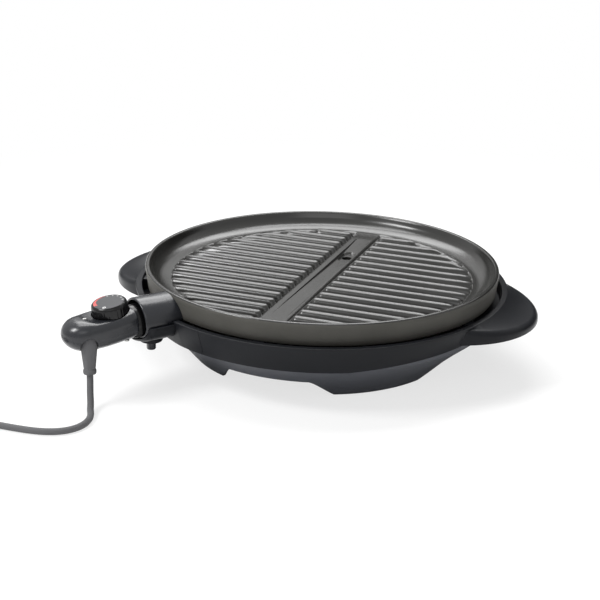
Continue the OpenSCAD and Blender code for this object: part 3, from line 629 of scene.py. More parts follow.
@dataclass(frozen=True)
class Studio:
    """A pale floor, a white surround, two dark cards and the soft lamps, in metres."""

    fill: float = 0.42
    dark: float = 0.015
    pale: float = 0.93
    far: float = 30.0
    fade: tuple[float, float] = (0.3, 1.0)
    least_glow: float = 0.72
    cards: tuple[tuple[str, Point, Point], ...] = (
        ("studio_flag", (-0.42, 1.55, 0.06), (2.4, 1.3, 1.0)),
        ("studio_card", (-1.9, 0.9, 0.05), (-0.42, 1.55, 0.5)))
    lamps: tuple[Lamp, ...] = (
        Lamp("left_softbox", (-1.1, -0.95, 1.5), (-0.05, 0.0, 0.05), (0.66, 0.55), 30.0),
        Lamp("top_strip", (-0.35, 0.55, 1.95), (0.0, 0.0, 0.08), (1.6, 0.5), 22.0),
        Lamp("back_strip", (-0.55, 1.15, 1.5), (0.0, 0.05, 0.08), (1.7, 0.75), 28.0),
        Lamp("front_fill", (0.6, -1.9, 1.5), (0.0, 0.0, 0.05), (1.6, 0.9), 6.0))

    def make(self) -> None:
        """Makes the lamps, the surround, the floor and the cards."""
        for lamp in self.lamps:
            lamp.make()
        self.surround()
        self.floor()
        for name, low, high in self.cards:
            self.card(name, low, high)

    def surround(self) -> None:
        """Makes a world that is white to the eye and in reflections, and dimmer as a lamp."""
        world = bpy.data.worlds.new("studio_surround")
        bpy.context.scene.world = world
        world.use_nodes = True
        w = Wiring(world.node_tree, True)
        path = w.node("ShaderNodeLightPath").outputs
        seen = w.maths("MAXIMUM", path["Is Camera Ray"], path["Is Transmission Ray"])
        white = w.maths("MAXIMUM", seen, path["Is Glossy Ray"])
        level = w.node("ShaderNodeMapRange", {"To Min": self.fill, "To Max": 1.0, "Value": white})
        glow = w.node("ShaderNodeBackground", {"Color": WHITE, "Strength": level.outputs["Result"]})
        w.node("ShaderNodeOutputWorld", {"Surface": glow.outputs[0]})

    def card(self, name: str, low: Point, high: Point) -> Piece:
        """Makes an upright dark card behind the grill, which only the grill's reflections show.

        Args:
            name: The card's name.
            low: Its lower corner on one side.
            high: Its upper corner on the other side.

        Returns:
            The card.
        """
        material = new_material(name)
        shader = material.node_tree.nodes["Principled BSDF"]
        shader.inputs["Base Color"].default_value = (self.dark, self.dark, self.dark, 1)
        shader.inputs["Roughness"].default_value = 0.9
        card = self.panel(name, [low, (*high[:2], low[2]), high, (*low[:2], high[2])], material)
        card.visible_camera = False
        return card

    def floor(self) -> Piece:
        """Makes the floor, which keeps the object's shadow and fades into the white surround.

        Returns:
            The floor.
        """
        material = new_material("studio_floor")
        w = Wiring(material.node_tree, True)
        matt = w.node("ShaderNodeBsdfDiffuse", {"Color": (self.pale, self.pale, self.pale, 1)})
        glow = w.node("ShaderNodeEmission", {"Color": WHITE})
        fade = w.node("ShaderNodeMapRange", {
            "From Min": self.fade[0], "From Max": self.fade[1], "To Min": self.least_glow, "To Max": 1.0,
            "Value": w.length(w.place())}, interpolation_type="SMOOTHSTEP")
        path = w.node("ShaderNodeLightPath")
        share = w.maths("MULTIPLY", fade.outputs["Result"], path.outputs["Is Camera Ray"])
        both = w.node("ShaderNodeMixShader", {0: share, 1: matt.outputs[0], 2: glow.outputs[0]})
        w.node("ShaderNodeOutputMaterial", {"Surface": both.outputs[0]})
        a = self.far
        return self.panel("studio_floor", [(-a, -a, 0), (a, -a, 0), (a, a, 0), (-a, a, 0)], material)

    @staticmethod
    def panel(name: str, corners: list[Point], material: bpy.types.Material) -> Piece:
        """Makes a flat four-cornered piece of the studio.

        Args:
            name: Its name.
            corners: Its corners in metres, in order.
            material: Its material.

        Returns:
            The stage piece.
        """
        mesh = bpy.data.meshes.new(name)
        mesh.from_pydata(corners, [], [(0, 1, 2, 3)])
        mesh.materials.append(material)
        panel = link(bpy.data.objects.new(name, mesh))
        return panel


# ---------------------------------------------------------------- finishes


@cache
def grain_group() -> bpy.types.ShaderNodeTree:
    """Makes the fine grain of a surface: a bump height and an uneven roughness.

    Returns:
        The group's tree.
    """
    w = Wiring.group("Shader", "surface_grain", {"Scale": 900.0, "Roughness": 0.4, "Unevenness": 0.04},
                     {"Height": "Float", "Roughness": "Float"})
    place = w.place()
    fine = w.node("ShaderNodeTexNoise", {"Detail": 3.0, "Vector": place, "Scale": w.given["Scale"]})
    broad = w.node("ShaderNodeTexNoise", {"Scale": 14.0, "Detail": 4.0, "Vector": place})
    change = w.maths("MULTIPLY_ADD", both_ways(w, broad), w.given["Unevenness"], w.given["Roughness"])
    w.wire(w.end, {"Roughness": change, "Height": fine.outputs["Fac"]})
    return w.tree


@cache
def tone_group() -> bpy.types.ShaderNodeTree:
    """Makes the soft uneven tone of a real surface: a colour around a given one.

    Returns:
        The group's tree.
    """
    w = Wiring.group("Shader", "uneven_tone", {"Color": (0.5, 0.5, 0.5, 1), "Spread": 0.1, "Scale": 25.0},
                     {"Color": "Color"})
    cloud = w.node("ShaderNodeTexNoise", {"Detail": 5.0, "Vector": w.place(), "Scale": w.given["Scale"]})
    gain = w.maths("MULTIPLY_ADD", both_ways(w, cloud), w.given["Spread"], 1.0)
    scaled = w.node("ShaderNodeVectorMath", {0: w.given["Color"], "Scale": gain}, operation="SCALE")
    w.wire(w.end, {"Color": scaled.outputs[0]})
    return w.tree


def both_ways(w: Wiring, noise: bpy.types.Node) -> Socket:
    """Spreads a noise from about 0.3 to 0.7 out to -1 to 1.

    Args:
        w: The wiring that the noise is in.
        noise: The noise node.

    Returns:
        The spread value.
    """
    level = w.node("ShaderNodeMapRange", {"From Min": 0.3, "From Max": 0.7, "To Min": -1.0,
                                          "Value": noise.outputs["Fac"]})
    return level.outputs["Result"]


@cache
def lines_group() -> bpy.types.ShaderNodeTree:
    """Makes fine lines round the plate's axis, as turning leaves them: a bump height.

    Returns:
        The group's tree.
    """
    w = Wiring.group("Shader", "turned_lines", {"Pitch": 0.0011}, {"Height": "Float"})
    middle = w.vector("SUBTRACT", w.place(), (0.0, AXIS_Y * MM, 0.0))
    reach = w.length(w.vector("MULTIPLY", middle, (1.0, 1.0, 0.0)))
    count = w.maths("DIVIDE", reach, w.given["Pitch"])
    uneven = w.node("ShaderNodeTexNoise", {"Scale": 1.0, "Detail": 2.0, "W": count}, noise_dimensions="1D")
    w.wire(w.end, {"Height": uneven.outputs["Fac"]})
    return w.tree


@dataclass(frozen=True)
class Finish:
    """A surface: its colour, gloss, grain and turning lines; the depths are in metres."""

    name: str
    colour: Point
    roughness: float = 0.4
    metallic: float = 0.0
    specular: float = 0.5
    spread: float = 0.06
    grain: float = 900.0
    depth: float = 0.00002
    coat: float = 0.0
    line_depth: float = 0.0

    def make(self) -> bpy.types.Material:
        """Makes the Principled material, or gives the one made before.

        Returns:
            The material.
        """
        old = bpy.data.materials.get(self.name)
        if old:
            return old
        material = new_material(self.name)
        w = Wiring(material.node_tree)
        tone = w.node("ShaderNodeGroup", {"Color": (*self.colour, 1), "Spread": self.spread},
                      node_tree=tone_group())
        grain = w.node("ShaderNodeGroup", {"Scale": self.grain, "Roughness": self.roughness},
                       node_tree=grain_group())
        bump = w.node("ShaderNodeBump", {"Distance": self.depth, "Height": grain.outputs["Height"]})
        w.wire(w.tree.nodes["Principled BSDF"].inputs, {
            "Metallic": self.metallic, "Specular IOR Level": self.specular, "Coat Weight": self.coat,
            "Coat Roughness": 0.1, "Base Color": tone.outputs["Color"],
            "Roughness": grain.outputs["Roughness"], "Normal": bump.outputs["Normal"]})
        if self.line_depth:
            lines = w.node("ShaderNodeGroup", node_tree=lines_group())
            turned = w.node("ShaderNodeBump", {
                "Distance": self.line_depth, "Height": lines.outputs["Height"]})
            w.wire(bump.inputs, {"Normal": turned.outputs["Normal"]})
        return material


NONSTICK = Finish("nonstick_coat", (0.016, 0.0158, 0.0145), 0.21, specular=0.45, grain=2600.0, spread=0.1,
                  line_depth=0.000012)
SKIRT_COAT = Finish("skirt_coat", (0.072, 0.070, 0.063), 0.65, specular=0.15, grain=2600.0, depth=0.00003,
                    spread=0.1, line_depth=0.000012)
RING_PLASTIC = Finish("ring_plastic", (0.0085, 0.0092, 0.0112), 0.34, specular=0.13, grain=1800.0,
                      depth=0.00001)
BOWL_PLASTIC = Finish("bowl_plastic", (0.060, 0.064, 0.075), 0.45, specular=0.35, grain=1500.0, depth=0.00003)
CONTROL_PLASTIC = Finish("control_plastic", (0.0115, 0.0127, 0.016), 0.24, specular=0.42, grain=1600.0,
                         depth=0.00001)
KNOB_PLASTIC = Finish("knob_plastic", (0.004, 0.004, 0.0045), 0.2, specular=0.25, grain=1500.0,
                      depth=0.000008)
DIAL_GREY = Finish("dial_grey", (0.026, 0.027, 0.030), 0.5, specular=0.3)
MARK_RED = Finish("mark_red", (0.42, 0.028, 0.022), 0.42)
MARK_WHITE = Finish("mark_white", (0.68, 0.68, 0.67), 0.45)
CORD_RUBBER = Finish("cord_rubber", (0.040, 0.042, 0.047), 0.42, specular=0.4, grain=1200.0, depth=0.00003)
PAD_RUBBER = Finish("pad_rubber", (0.022, 0.022, 0.022), 0.75, grain=700.0, depth=0.0001)
SCREW_STEEL = Finish("screw_steel", (0.42, 0.42, 0.41), 0.35, metallic=1.0, grain=2500.0)
TRAY_STEEL = Finish("tray_steel", (0.55, 0.55, 0.54), 0.32, metallic=1.0, grain=1400.0, line_depth=0.00002)
HEATER_SHEATH = Finish("heater_sheath", (0.16, 0.155, 0.15), 0.5, metallic=0.8, grain=1200.0, spread=0.2)
PIN_NICKEL = Finish("pin_nickel", (0.62, 0.60, 0.56), 0.22, metallic=1.0, grain=2000.0)
BRASS = Finish("contact_brass", (0.62, 0.43, 0.17), 0.3, metallic=1.0, grain=2000.0, spread=0.1)
CERAMIC = Finish("insulator_ceramic", (0.62, 0.58, 0.50), 0.6, grain=900.0, depth=0.00006)
LAMP_LENS = Finish("index_mark", (0.72, 0.72, 0.70), 0.25, coat=0.5)


def dress(piece: Piece, finish: Finish) -> Piece:
    """Gives every material slot of a piece one finish.

    Args:
        piece: The piece or CAD object.
        finish: Its finish.

    Returns:
        The piece.
    """
    material = finish.make()
    if not piece.material_slots:
        piece.data.materials.append(material)
    for holder in piece.material_slots:
        holder.material = material
    return piece


def settle(piece: Piece, body: Body, finish: Finish, *nodes: str) -> Piece:
    """Puts a piece on its rigid body, in its finish and in the place of CAD nodes.

    Args:
        piece: The finished piece.
        body: The body it rides on.
        finish: Its finish.
        nodes: The CAD nodes that it replaces, if any.

    Returns:
        The piece.
    """
    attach(piece, body.value)
    if nodes:
        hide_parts(*nodes)
    return dress(piece, finish)


# ---------------------------------------------------------------- the mains cord


@dataclass(frozen=True)
class MainsCord:
    """The cord from the control's strain relief to the plug, with the rest of it coiled."""

    diameter: float = 7.0
    centre: tuple[float, float] = (-308.0, -296.5)
    levels: tuple[float, ...] = (45.5, 38.5, 31.5, 31.5, 38.5, 45.5, 45.5)
    turns: float = 5.25
    climb: int = 2
    jog: float = 0.5
    dip: float = 3.05
    hump: float = 6.75
    steps: int = 28
    lift: float = 0.1
    lead: tuple[Point, ...] = (
        (-162, -253.5, 33.2), (-161.5, -254.5, 29), (-160.5, -256.5, 24), (-158, -261.5, 15.7),
        (-154, -268.5, 9.3), (-150, -276.5, 5.2), (-144.5, -286.5, 3.6), (-141, -298, 3.6),
        (-141, -310, 3.6), (-145.5, -321.5, 3.6), (-154, -330.5, 3.6), (-167, -337, 3.6),
        (-180, -340, 3.6), (-196, -341.5, 3.6), (-214, -342, 3.6), (-232, -342, 3.6),
        (-250, -342, 3.6), (-266, -342, 3.6), (-280, -342, 3.6), (-294, -342, 3.6))
    tail: tuple[Point, ...] = (
        (-353.5, -287, 9.6), (-353.5, -278, 7.9), (-353.5, -269, 6.4),
        (-353.5, -260, 5.8), (-353.5, -252, 6.6), (-353.5, -245, 8.4))

    def coil_point(self, t: float) -> Point:
        """Gives the cord's centre in the coil.

        Args:
            t: Turns since the cord joined the coil.

        Returns:
            The point, in the plate's frame.
        """
        k = int(t)
        run = max(0.0, (t - k - (1 - self.jog)) / self.jog)
        share = float(smooth_step(run))
        radius = self.levels[k] + (self.levels[k + 1] - self.levels[k]) * share
        layer = 0.5 if k < self.climb else 1.5 if k > self.climb else 0.5 + share
        if k == self.climb:
            radius -= self.dip * self.hump * run * run * (1 - run)
        x, y, z = around([(radius, self.lift + self.diameter * layer)], -90 - 360 * t)[0]
        return self.centre[0] + x, self.centre[1] + y, z

    def points(self) -> list[Point]:
        """Gives the points of the whole route, in the plate's frame.

        Returns:
            The points from the strain relief to the plug.
        """
        n = int(self.turns * self.steps)
        coil = [self.coil_point(i * self.turns / n) for i in range(n)]
        coil.append((self.centre[0] - self.levels[0], self.centre[1], 1.5 * self.diameter + self.lift))
        return [*self.lead, *coil, *self.tail]

    def make(self) -> Piece:
        """Makes the pieces on the cord, and the cord as one smooth curve.

        Returns:
            The cord.
        """
        fittings = CordFittings().make()
        route = carry(self.points(), PLATE)
        data = bpy.data.curves.new("dressed_mains_cord", "CURVE")
        data.dimensions, data.resolution_u = "3D", 4
        data.bevel_depth, data.bevel_resolution, data.use_fill_caps = 1.0, 5, True
        line = data.splines.new("BEZIER")
        line.bezier_points.add(len(route) - 1)
        for spot, p in zip(line.bezier_points, route):
            spot.co, spot.radius = p, self.diameter / 2 * MM
            spot.handle_left_type = spot.handle_right_type = "AUTO"
        cord = link(bpy.data.objects.new("dressed_mains_cord", data))
        settle(cord, Body.CONTROL, CORD_RUBBER, "mains_cord", "cord_coil")
        return cord


# ---------------------------------------------------------------- patterns by Geometry Nodes


def recipe(name: str, inputs: dict[str, object]) -> Wiring:
    """Starts a Geometry Nodes tree that takes and gives geometry, with named inputs and a material."""
    return Wiring.group("Geometry", name, {"Geometry": "Geometry", **inputs, "Material": "Material"},
                        {"Geometry": "Geometry"})


def served(w: Wiring, geometry: Socket) -> bpy.types.GeometryNodeTree:
    """Ends a tree in Realize Instances and Set Material.

    Args:
        w: The wiring of the tree.
        geometry: What the tree has made.

    Returns:
        The tree.
    """
    real = w.node("GeometryNodeRealizeInstances", {0: geometry})
    coated = w.node("GeometryNodeSetMaterial", {"Geometry": real.outputs[0], "Material": w.given["Material"]})
    w.wire(w.end, {"Geometry": coated.outputs[0]})
    return w.tree


def grown(piece: Piece, tree: bpy.types.GeometryNodeTree, values: dict, sharp: float = 35.0) -> Piece:
    """Runs a Geometry Nodes tree on a piece and keeps what it makes as a plain mesh.

    Args:
        piece: The object that the tree works on.
        tree: The tree.
        values: The tree's inputs by name.
        sharp: The angle over which an edge stays crisp.

    Returns:
        The piece.
    """
    step = piece.modifiers.new(tree.name, "NODES")
    step.node_group = tree
    for item in tree.interface.items_tree:
        if item.in_out == "INPUT" and item.name in values:
            step[item.identifier] = values[item.name]
    return baked(piece, sharp)


def rib_recipe() -> bpy.types.GeometryNodeTree:
    """Makes the rule of the plate's two fields of ribs.

    Returns:
        A tree that raises the points of a flat plate to round-backed ribs with ball ends.
    """
    w = recipe("rib_fields", {
        "Pitch": 0.01985, "Last rib": 8.0, "Rib radius": 0.0066, "Crest": 0.086, "Reach": 0.172,
        "Land": 0.016, "Axis Y": 0.0278, "Fillet": 0.0007, "Side slope": 6.0,
        "Field floor": 0.0781, "Field radius": 0.1738})
    given = w.given
    add, less, times, high = (partial(w.maths, name) for name in ("ADD", "SUBTRACT", "MULTIPLY", "MAXIMUM"))
    radius = given["Rib radius"]
    place = w.node("GeometryNodeInputPosition").outputs[0]
    x, spot_y, z = w.node("ShaderNodeSeparateXYZ", {0: place}).outputs
    y = less(spot_y, given["Axis Y"])
    far = w.maths("ABSOLUTE", x)
    count = w.maths("ROUND", w.maths("DIVIDE", y, given["Pitch"]))
    number = w.maths("MINIMUM", high(count, times(given["Last rib"], -1.0)), given["Last rib"])
    line = times(number, given["Pitch"])
    across = less(y, line)
    square = less(w.maths("POWER", given["Reach"], 2.0), times(line, line))
    outer = less(w.maths("SQRT", square), radius)
    inner = add(given["Land"], radius)
    along = high(high(less(inner, far), less(far, outer)), 0.0)
    reach = w.maths("SQRT", add(times(along, along), times(across, across)))
    room = less(w.maths("POWER", radius, 2.0), times(reach, reach))
    rise = w.maths("SQRT", high(room, 0.0))
    beyond = times(high(less(reach, radius), 0.0), given["Side slope"])
    back = less(add(less(given["Crest"], radius), rise), beyond)
    top = w.maths("SMOOTH_MAX", back, z, given["Fillet"])
    spot = w.node("ShaderNodeCombineXYZ", {0: x, 1: spot_y, 2: top})
    near = w.node("FunctionNodeCompare", {0: z, 1: given["Field floor"]}, data_type="FLOAT",
                  operation="GREATER_THAN")
    inside = w.maths("LESS_THAN", add(times(x, x), times(y, y)), w.maths("POWER", given["Field radius"], 2.0))
    chosen = w.node("FunctionNodeBooleanMath", {0: near.outputs[0], 1: inside}, operation="AND")
    moved = w.node("GeometryNodeSetPosition", {
        "Geometry": given["Geometry"], "Selection": chosen.outputs[0], "Position": spot.outputs[0]})
    return served(w, moved.outputs[0])


@cache
def set_out_recipe() -> bpy.types.GeometryNodeTree:
    """Makes the rule that puts a part on each marked point, turned by the point's own angle.

    Returns:
        The rule's tree.
    """
    w = recipe("set_out", {"Part": "Object"})
    angle = w.node("GeometryNodeInputNamedAttribute", {"Name": "turn"}, data_type="FLOAT")
    spin = w.node("ShaderNodeCombineXYZ", {2: angle.outputs[0]})
    part = w.node("GeometryNodeObjectInfo", {"Object": w.given["Part"]})
    put = w.node("GeometryNodeInstanceOnPoints", {
        "Points": w.given["Geometry"], "Instance": part.outputs["Geometry"], "Rotation": spin.outputs[0]})
    return served(w, put.outputs[0])


def set_out(name: str, part: Piece, places: Sequence[Spot], body: Body, finish: Finish, *nodes: str,
            frame_of: Matrix = PLATE) -> Piece:
    """Sets copies of a part out on places and settles them as one piece.

    Args:
        name: The new piece's name.
        part: The part, made about the world's origin; it is used up.
        places: Each place as (x, y, z, turn in degrees), in millimetres.
        body: The body that they ride on.
        finish: The finish of the copies.
        nodes: The CAD nodes that they replace, if any.
        frame_of: The frame of the places; only its move and its turn about Z count.

    Returns:
        One piece with all the copies.
    """
    mesh = bpy.data.meshes.new(name)
    mesh.from_pydata(carry([p[:3] for p in places], frame_of).tolist(), [], [])
    spin = frame_of.to_euler().z
    turns = [spin + math.radians(p[3]) for p in places]
    mesh.attributes.new("turn", "FLOAT", "POINT").data.foreach_set("value", turns)
    piece = link(bpy.data.objects.new(name, mesh))
    grown(piece, set_out_recipe(), {"Part": part, "Material": finish.make()})
    bpy.data.objects.remove(part)
    return settle(piece, body, finish, *nodes)


# ---------------------------------------------------------------- the grill plate


@dataclass(frozen=True)
class GrillPlate:
    """The cast plate: ribs, land, drain channel, dished border, rim and skirt."""

    joint_r: float = 178.0
    border_r: float = 168.0
    first_row: float = 22.0
    last_rib: int = 8
    pitch: float = 19.85
    land_rise: float = 3.3
    land_half: float = 13.6
    land_slope: float = 5.2
    channel: tuple[float, float] = (-7.0, 11.0)
    channel_y: tuple[float, float] = (-145.0, 148.0)
    channel_edge: float = 0.45
    depth: float = 2.64
    drain: tuple[float, float, float] = (2.0, 82.0, 6.0)
    slot_half: float = 9.0
    slot_r: float = 7.0
    slot_edge: float = 1.4
    slot_depth: float = 4.6
    coat_r: float = 196.2
    coat_top: float = 98.5
    near_run: float = 10.0
    near_share: float = 0.45
    near_count: int = 12
    steps: int = 360
    border: Curve = (
        (0, 79.9), (166.5, 79.9), (168.2, 80.1), (171.2, 83.1), (174, 83.4), (180, 84.7), (187, 88))
    rib_lines: tuple[float, ...] = (0, 1.3, 2.6, 3.7, 4.6, 5.3, 5.8, 6.15, 6.4, 6.6, 6.85, 7.3, 8.2, 9.3)
    land_lines: tuple[float, ...] = (
        -16.2, -15.6, -15, -14.5, -14, -12.5, -11, -9.5, -8, -7.4, -7.05, -6.75, -6.4, -6.1, -5.7, -5.1, -4.6,
        -4, -2, 0, 2, 4, 5, 5.8, 6.3, 6.65, 6.95, 7.3, 8, 8.6, 9.1, 9.7, 10.1, 10.4, 10.75, 11.05, 11.4, 12,
        13, 14, 14.5, 15, 15.6, 16.2)
    profile: Curve = (
        (180, 84.7), (183.5, 86), (187, 88), (189.6, 90.4), (191.4, 92.4), (192.6, 94.4), (193.6, 97.2),
        (194.5, 99.2), (195.3, 100.2), (196.4, 100.5), (197.9, 100.5), (199, 100.1), (199.7, 99.2),
        (200, 97.6), (200, 96.4), (199.6, 93.8), (199.2, 91.7), (198.7, 88), (198, 82), (197.3, 76.6),
        (196.6, 75.7), (195.2, 75.6), (194.4, 76.2), (194.2, 84), (194.2, 92.5), (191.5, 86.5), (186, 83.6),
        (179, 80.5), (174, 77.4), (169, 75.2), (160, 75), (120, 75), (60, 75))

    def rows(self) -> np.ndarray:
        """Gives the grid's places across the ribs, closer where a rib is steep.

        Returns:
            The places in rising order.
        """
        ribs = [k * self.pitch + s * h for k in range(-self.last_rib, self.last_rib + 1)
                for s in (-1, 1) for h in self.rib_lines]
        end = (self.last_rib + 0.5) * self.pitch
        ribs += [s * (end + v) for s in (-1, 1) for v in (0, 2.5, 5, 7)]
        rows = np.array(sorted({round(v, 4) for v in ribs}))
        return rows[np.abs(rows) < math.sqrt(self.joint_r ** 2 - self.first_row ** 2)]

    def base(self, x: np.ndarray, y: float) -> np.ndarray:
        """Gives the plate's heights without its ribs.

        Args:
            x: Places along the ribs.
            y: One place across the ribs.

        Returns:
            The heights.
        """
        r = np.hypot(x, y)
        border = curve(r, *self.border)
        slope = smooth_step((np.abs(x) - self.land_half) / self.land_slope)
        land = SIZE.valley_z + self.land_rise * (1 - slope)
        low, high = self.channel
        front, back = self.channel_y
        drain_x, drain_y, drain_r = self.drain
        run = (back - y) / (back - drain_y - drain_r)
        if y <= drain_y:
            run = (y - front) / (drain_y - drain_r - front)
        soft = self.channel_edge
        side = smooth_step((x - low + soft) / (2 * soft)) * smooth_step((high + soft - x) / (2 * soft))
        cut = self.depth * min(max(run, 0.0), 1.0) * side
        away = np.hypot(x - drain_x, max(abs(y - drain_y) - self.slot_half, 0))
        slot = self.slot_depth * (1 - smooth_step((away - self.slot_r) / self.slot_edge))
        inner = land - np.maximum(cut, slot)
        return np.where(r > self.border_r, np.maximum(border, inner), inner)

    def grid(self) -> np.ndarray:
        """Gives the points of the ribbed middle, in rows of one length.

        Returns:
            An array of shape (rows, points, 3).
        """
        middle = np.array(self.land_lines)
        edge = middle[-1]
        near = np.linspace(0, self.near_run, self.near_count)[1:]
        rising = np.linspace(0, self.near_share, self.near_count)[1:]
        falling = np.linspace(self.near_share, 0, self.near_count)[:-1]
        points = []
        for y in self.rows():
            full = math.sqrt(self.joint_r ** 2 - y * y)
            room = full - edge
            inner = np.minimum(near, room * rising)
            outer = full - np.minimum(near[::-1], room * falling)
            between = np.linspace(inner[-1] + edge, outer[0], self.near_count)[1:-1]
            side = np.concatenate([edge + inner, between, outer])
            side[-1] = full
            xs = np.concatenate([-side[::-1], middle, side])
            points.append(np.stack([xs, np.full(len(xs), y), self.base(xs, y)], 1))
        return np.array(points)

    def make(self) -> Piece:
        """Makes the plate.

        Returns:
            The plate.
        """
        grid = self.grid()
        number = np.arange(grid.shape[0] * grid.shape[1]).reshape(grid.shape[:2])
        faces = np.stack([number[:-1, :-1], number[:-1, 1:], number[1:, 1:], number[1:, :-1]], -1)
        form = Form().add(grid.reshape(-1, 3), faces.reshape(-1, 4).tolist())
        rim = np.concatenate([number[0], number[1:, -1], number[-1, -2::-1], number[-2:0:-1, 0]])
        x, y, _ = form.points[0][rim].T
        angle = np.arctan2(y, x)
        start = int(np.argmin(angle))
        self.outside(form, np.roll(rim, -start).tolist(), np.roll(angle, -start))
        plate = grown(form.make("dressed_grill_plate", PLATE, 40), rib_recipe(), {
            "Pitch": self.pitch * MM, "Last rib": float(self.last_rib), "Crest": SIZE.crest_z * MM,
            "Axis Y": AXIS_Y * MM, "Material": NONSTICK.make()}, 40)
        drain_x, drain_y, drain_r = self.drain
        carved(plate, [rod("drain", drain_r, 60, 100, 48, PLATE, move(drain_x, drain_y, 0))], 40)
        settle(plate, Body.PLATE, NONSTICK, "grill_plate")
        return self.coat_skirt(plate)

    def coat_skirt(self, plate: Piece) -> Piece:
        """Gives the faces outside the rim their thinner, lighter coat.

        Args:
            plate: The plate in its darker coat.

        Returns:
            The plate.
        """
        mesh = plate.data
        mesh.materials.append(SKIRT_COAT.make())
        for face in mesh.polygons:
            x, y, z = face.center / MM
            if math.hypot(x, y - AXIS_Y) > self.coat_r and z < self.coat_top:
                face.material_index = len(mesh.materials) - 1
        return plate

    def outside(self, form: Form, rim: list[int], angle: np.ndarray) -> None:
        """Adds the border, rim, skirt and underside round the ribbed middle.

        Args:
            form: The form that holds the middle.
            rim: The middle's outer points in order of their angle.
            angle: Their angles.
        """
        steps, first, m = self.steps, form.count, len(rim)
        turns = -math.pi + FULL * np.arange(steps) / steps
        rings = [[(r * math.cos(a), r * math.sin(a), z) for a in turns] for r, z in self.profile]
        form.loft(rings, caps=False)
        last, pole = form.count - steps, form.count
        form.add(np.array([[0, 0, SIZE.under_z]]), [])
        form.faces += [(last + k, last + (k + 1) % steps, pole) for k in range(steps)]
        i, k = 0, 0
        while i < m or k < steps:
            inner = angle[i + 1] if i + 1 < m else FULL + angle[0]
            outer = turns[k + 1] if k + 1 < steps else math.pi
            if k >= steps or (i < m and inner <= outer):
                form.faces.append((rim[i], first + k % steps, rim[(i + 1) % m]))
                i += 1
            else:
                form.faces.append((rim[i % m], first + k, first + (k + 1) % steps))
                k += 1


# ---------------------------------------------------------------- the two housings


@dataclass(frozen=True)
class UpperHousing:
    """The ring round the plate and its two wing handles, in one moulding."""

    edge: float = 6.5
    cover_r: float = 88.7
    root: float = 204.5
    skin: float = 0.02
    handle_half: float = 25.3
    lip: float = 1.6
    cover_deep: float = 3.2
    edge_reach: float = 1.25
    lap_r: float = 209.8
    seat_r: float = 199.6
    seat_z: float = 63.0

    @staticmethod
    def ring_section(angle: float) -> Ring:
        """Gives the ring's outline at an angle.

        Args:
            angle: The angle round the plate's axis, in degrees.

        Returns:
            The outline as (radius, height).
        """
        aside = abs(SIZE.flange_r * math.cos(math.radians(angle)))
        rise = SIZE.ring_climb * max(0.0, aside - SIZE.level_half)
        low, face = SIZE.ring_low + rise, SIZE.ring_foot + SIZE.ring_draft * rise
        return rounded([
            (face - 4, low, 0.4), (face, low, 0.8), (211, 76.7, 0), (210.85, 77.25, 0), (210.4, 77.6, 0),
            (209.9, 77.7, 0), (204.4, 77.7, 0.5), (203.6, 76.9, 0.5), (203.2, 63, 1.2), (184, 63, 0.4),
            (184, 60, 0.4), (199, 60, 1.2)], 3)

    def handle_section(self, angle: float) -> Ring:
        """Gives a handle's outline at an angle.

        Args:
            angle: The angle from the handle's middle, in degrees.

        Returns:
            The outline as (radius, height).
        """
        a = math.radians(angle)
        middle, side = SIZE.handle_x * math.cos(a), (SIZE.handle_x * math.sin(a)) ** 2
        tip, cover = (middle + math.sqrt(max(r ** 2 - side, 0)) for r in (SIZE.handle_r, self.cover_r))
        root, wide, low = self.root, tip - self.root, SIZE.handle_low
        lip = min(self.lip, wide * 0.4)
        cover = min(max(cover, root + 0.1), tip - lip - 0.05)
        top = SIZE.ring_top - SIZE.handle_fall * max(0.0, tip * math.cos(a) - SIZE.crease_x)
        e = min(self.edge, wide * 0.7)
        arc = [(tip - e * (1 - math.sin(t)) * self.edge_reach, top - e * (1 - math.cos(t)))
               for t in np.linspace(math.pi / 2, 0.0, 9)]
        inside = max(min(self.lap_r, arc[-1][0] - 0.05), root + self.skin)
        lid = SIZE.ring_top + self.skin
        roof = low + self.cover_deep
        return [(root, roof), (cover, roof), (cover, low), (tip - lip, low),
                (tip - lip / 2, low + 0.2), (tip - lip / 8, low + 0.8), (tip, low + 1.6), *arc,
                (inside, lid), (root, lid)]

    def make(self) -> Piece:
        """Makes the housing and its seats.

        Returns:
            The housing.
        """
        span = 360 - 2 * SIZE.gap_half
        angles = SIZE.control_turn + SIZE.gap_half + np.linspace(0, span, int(span))
        rings = [around(self.ring_section(a), a) for a in angles]
        housing = lofted("dressed_upper_housing", rings, PLATE, 32)
        spread = np.linspace(-self.handle_half, self.handle_half, 91)
        handles = [lofted("handle", [around(self.handle_section(a), a + side) for a in spread], PLATE, 32)
                   for side in (0.0, 180.0)]
        carved(housing, handles, 32, "UNION")
        settle(housing, Body.BASE, RING_PLASTIC, "upper_housing")
        self.seats()
        return housing

    def seats(self) -> Piece:
        """Makes the five blocks on the ring's flange that the plate's skirt rests on.

        Returns:
            The blocks as one piece.
        """
        seat = softened(block("seat_block", (-6.6, -7, 0), (6.6, 7, 12.2)), 0.6)
        angles = [SIZE.control_turn + (i + 0.5) * 72 for i in range(5)]
        return set_out("plate_seats", seat, spots(self.seat_r, angles, self.seat_z), Body.BASE, RING_PLASTIC)


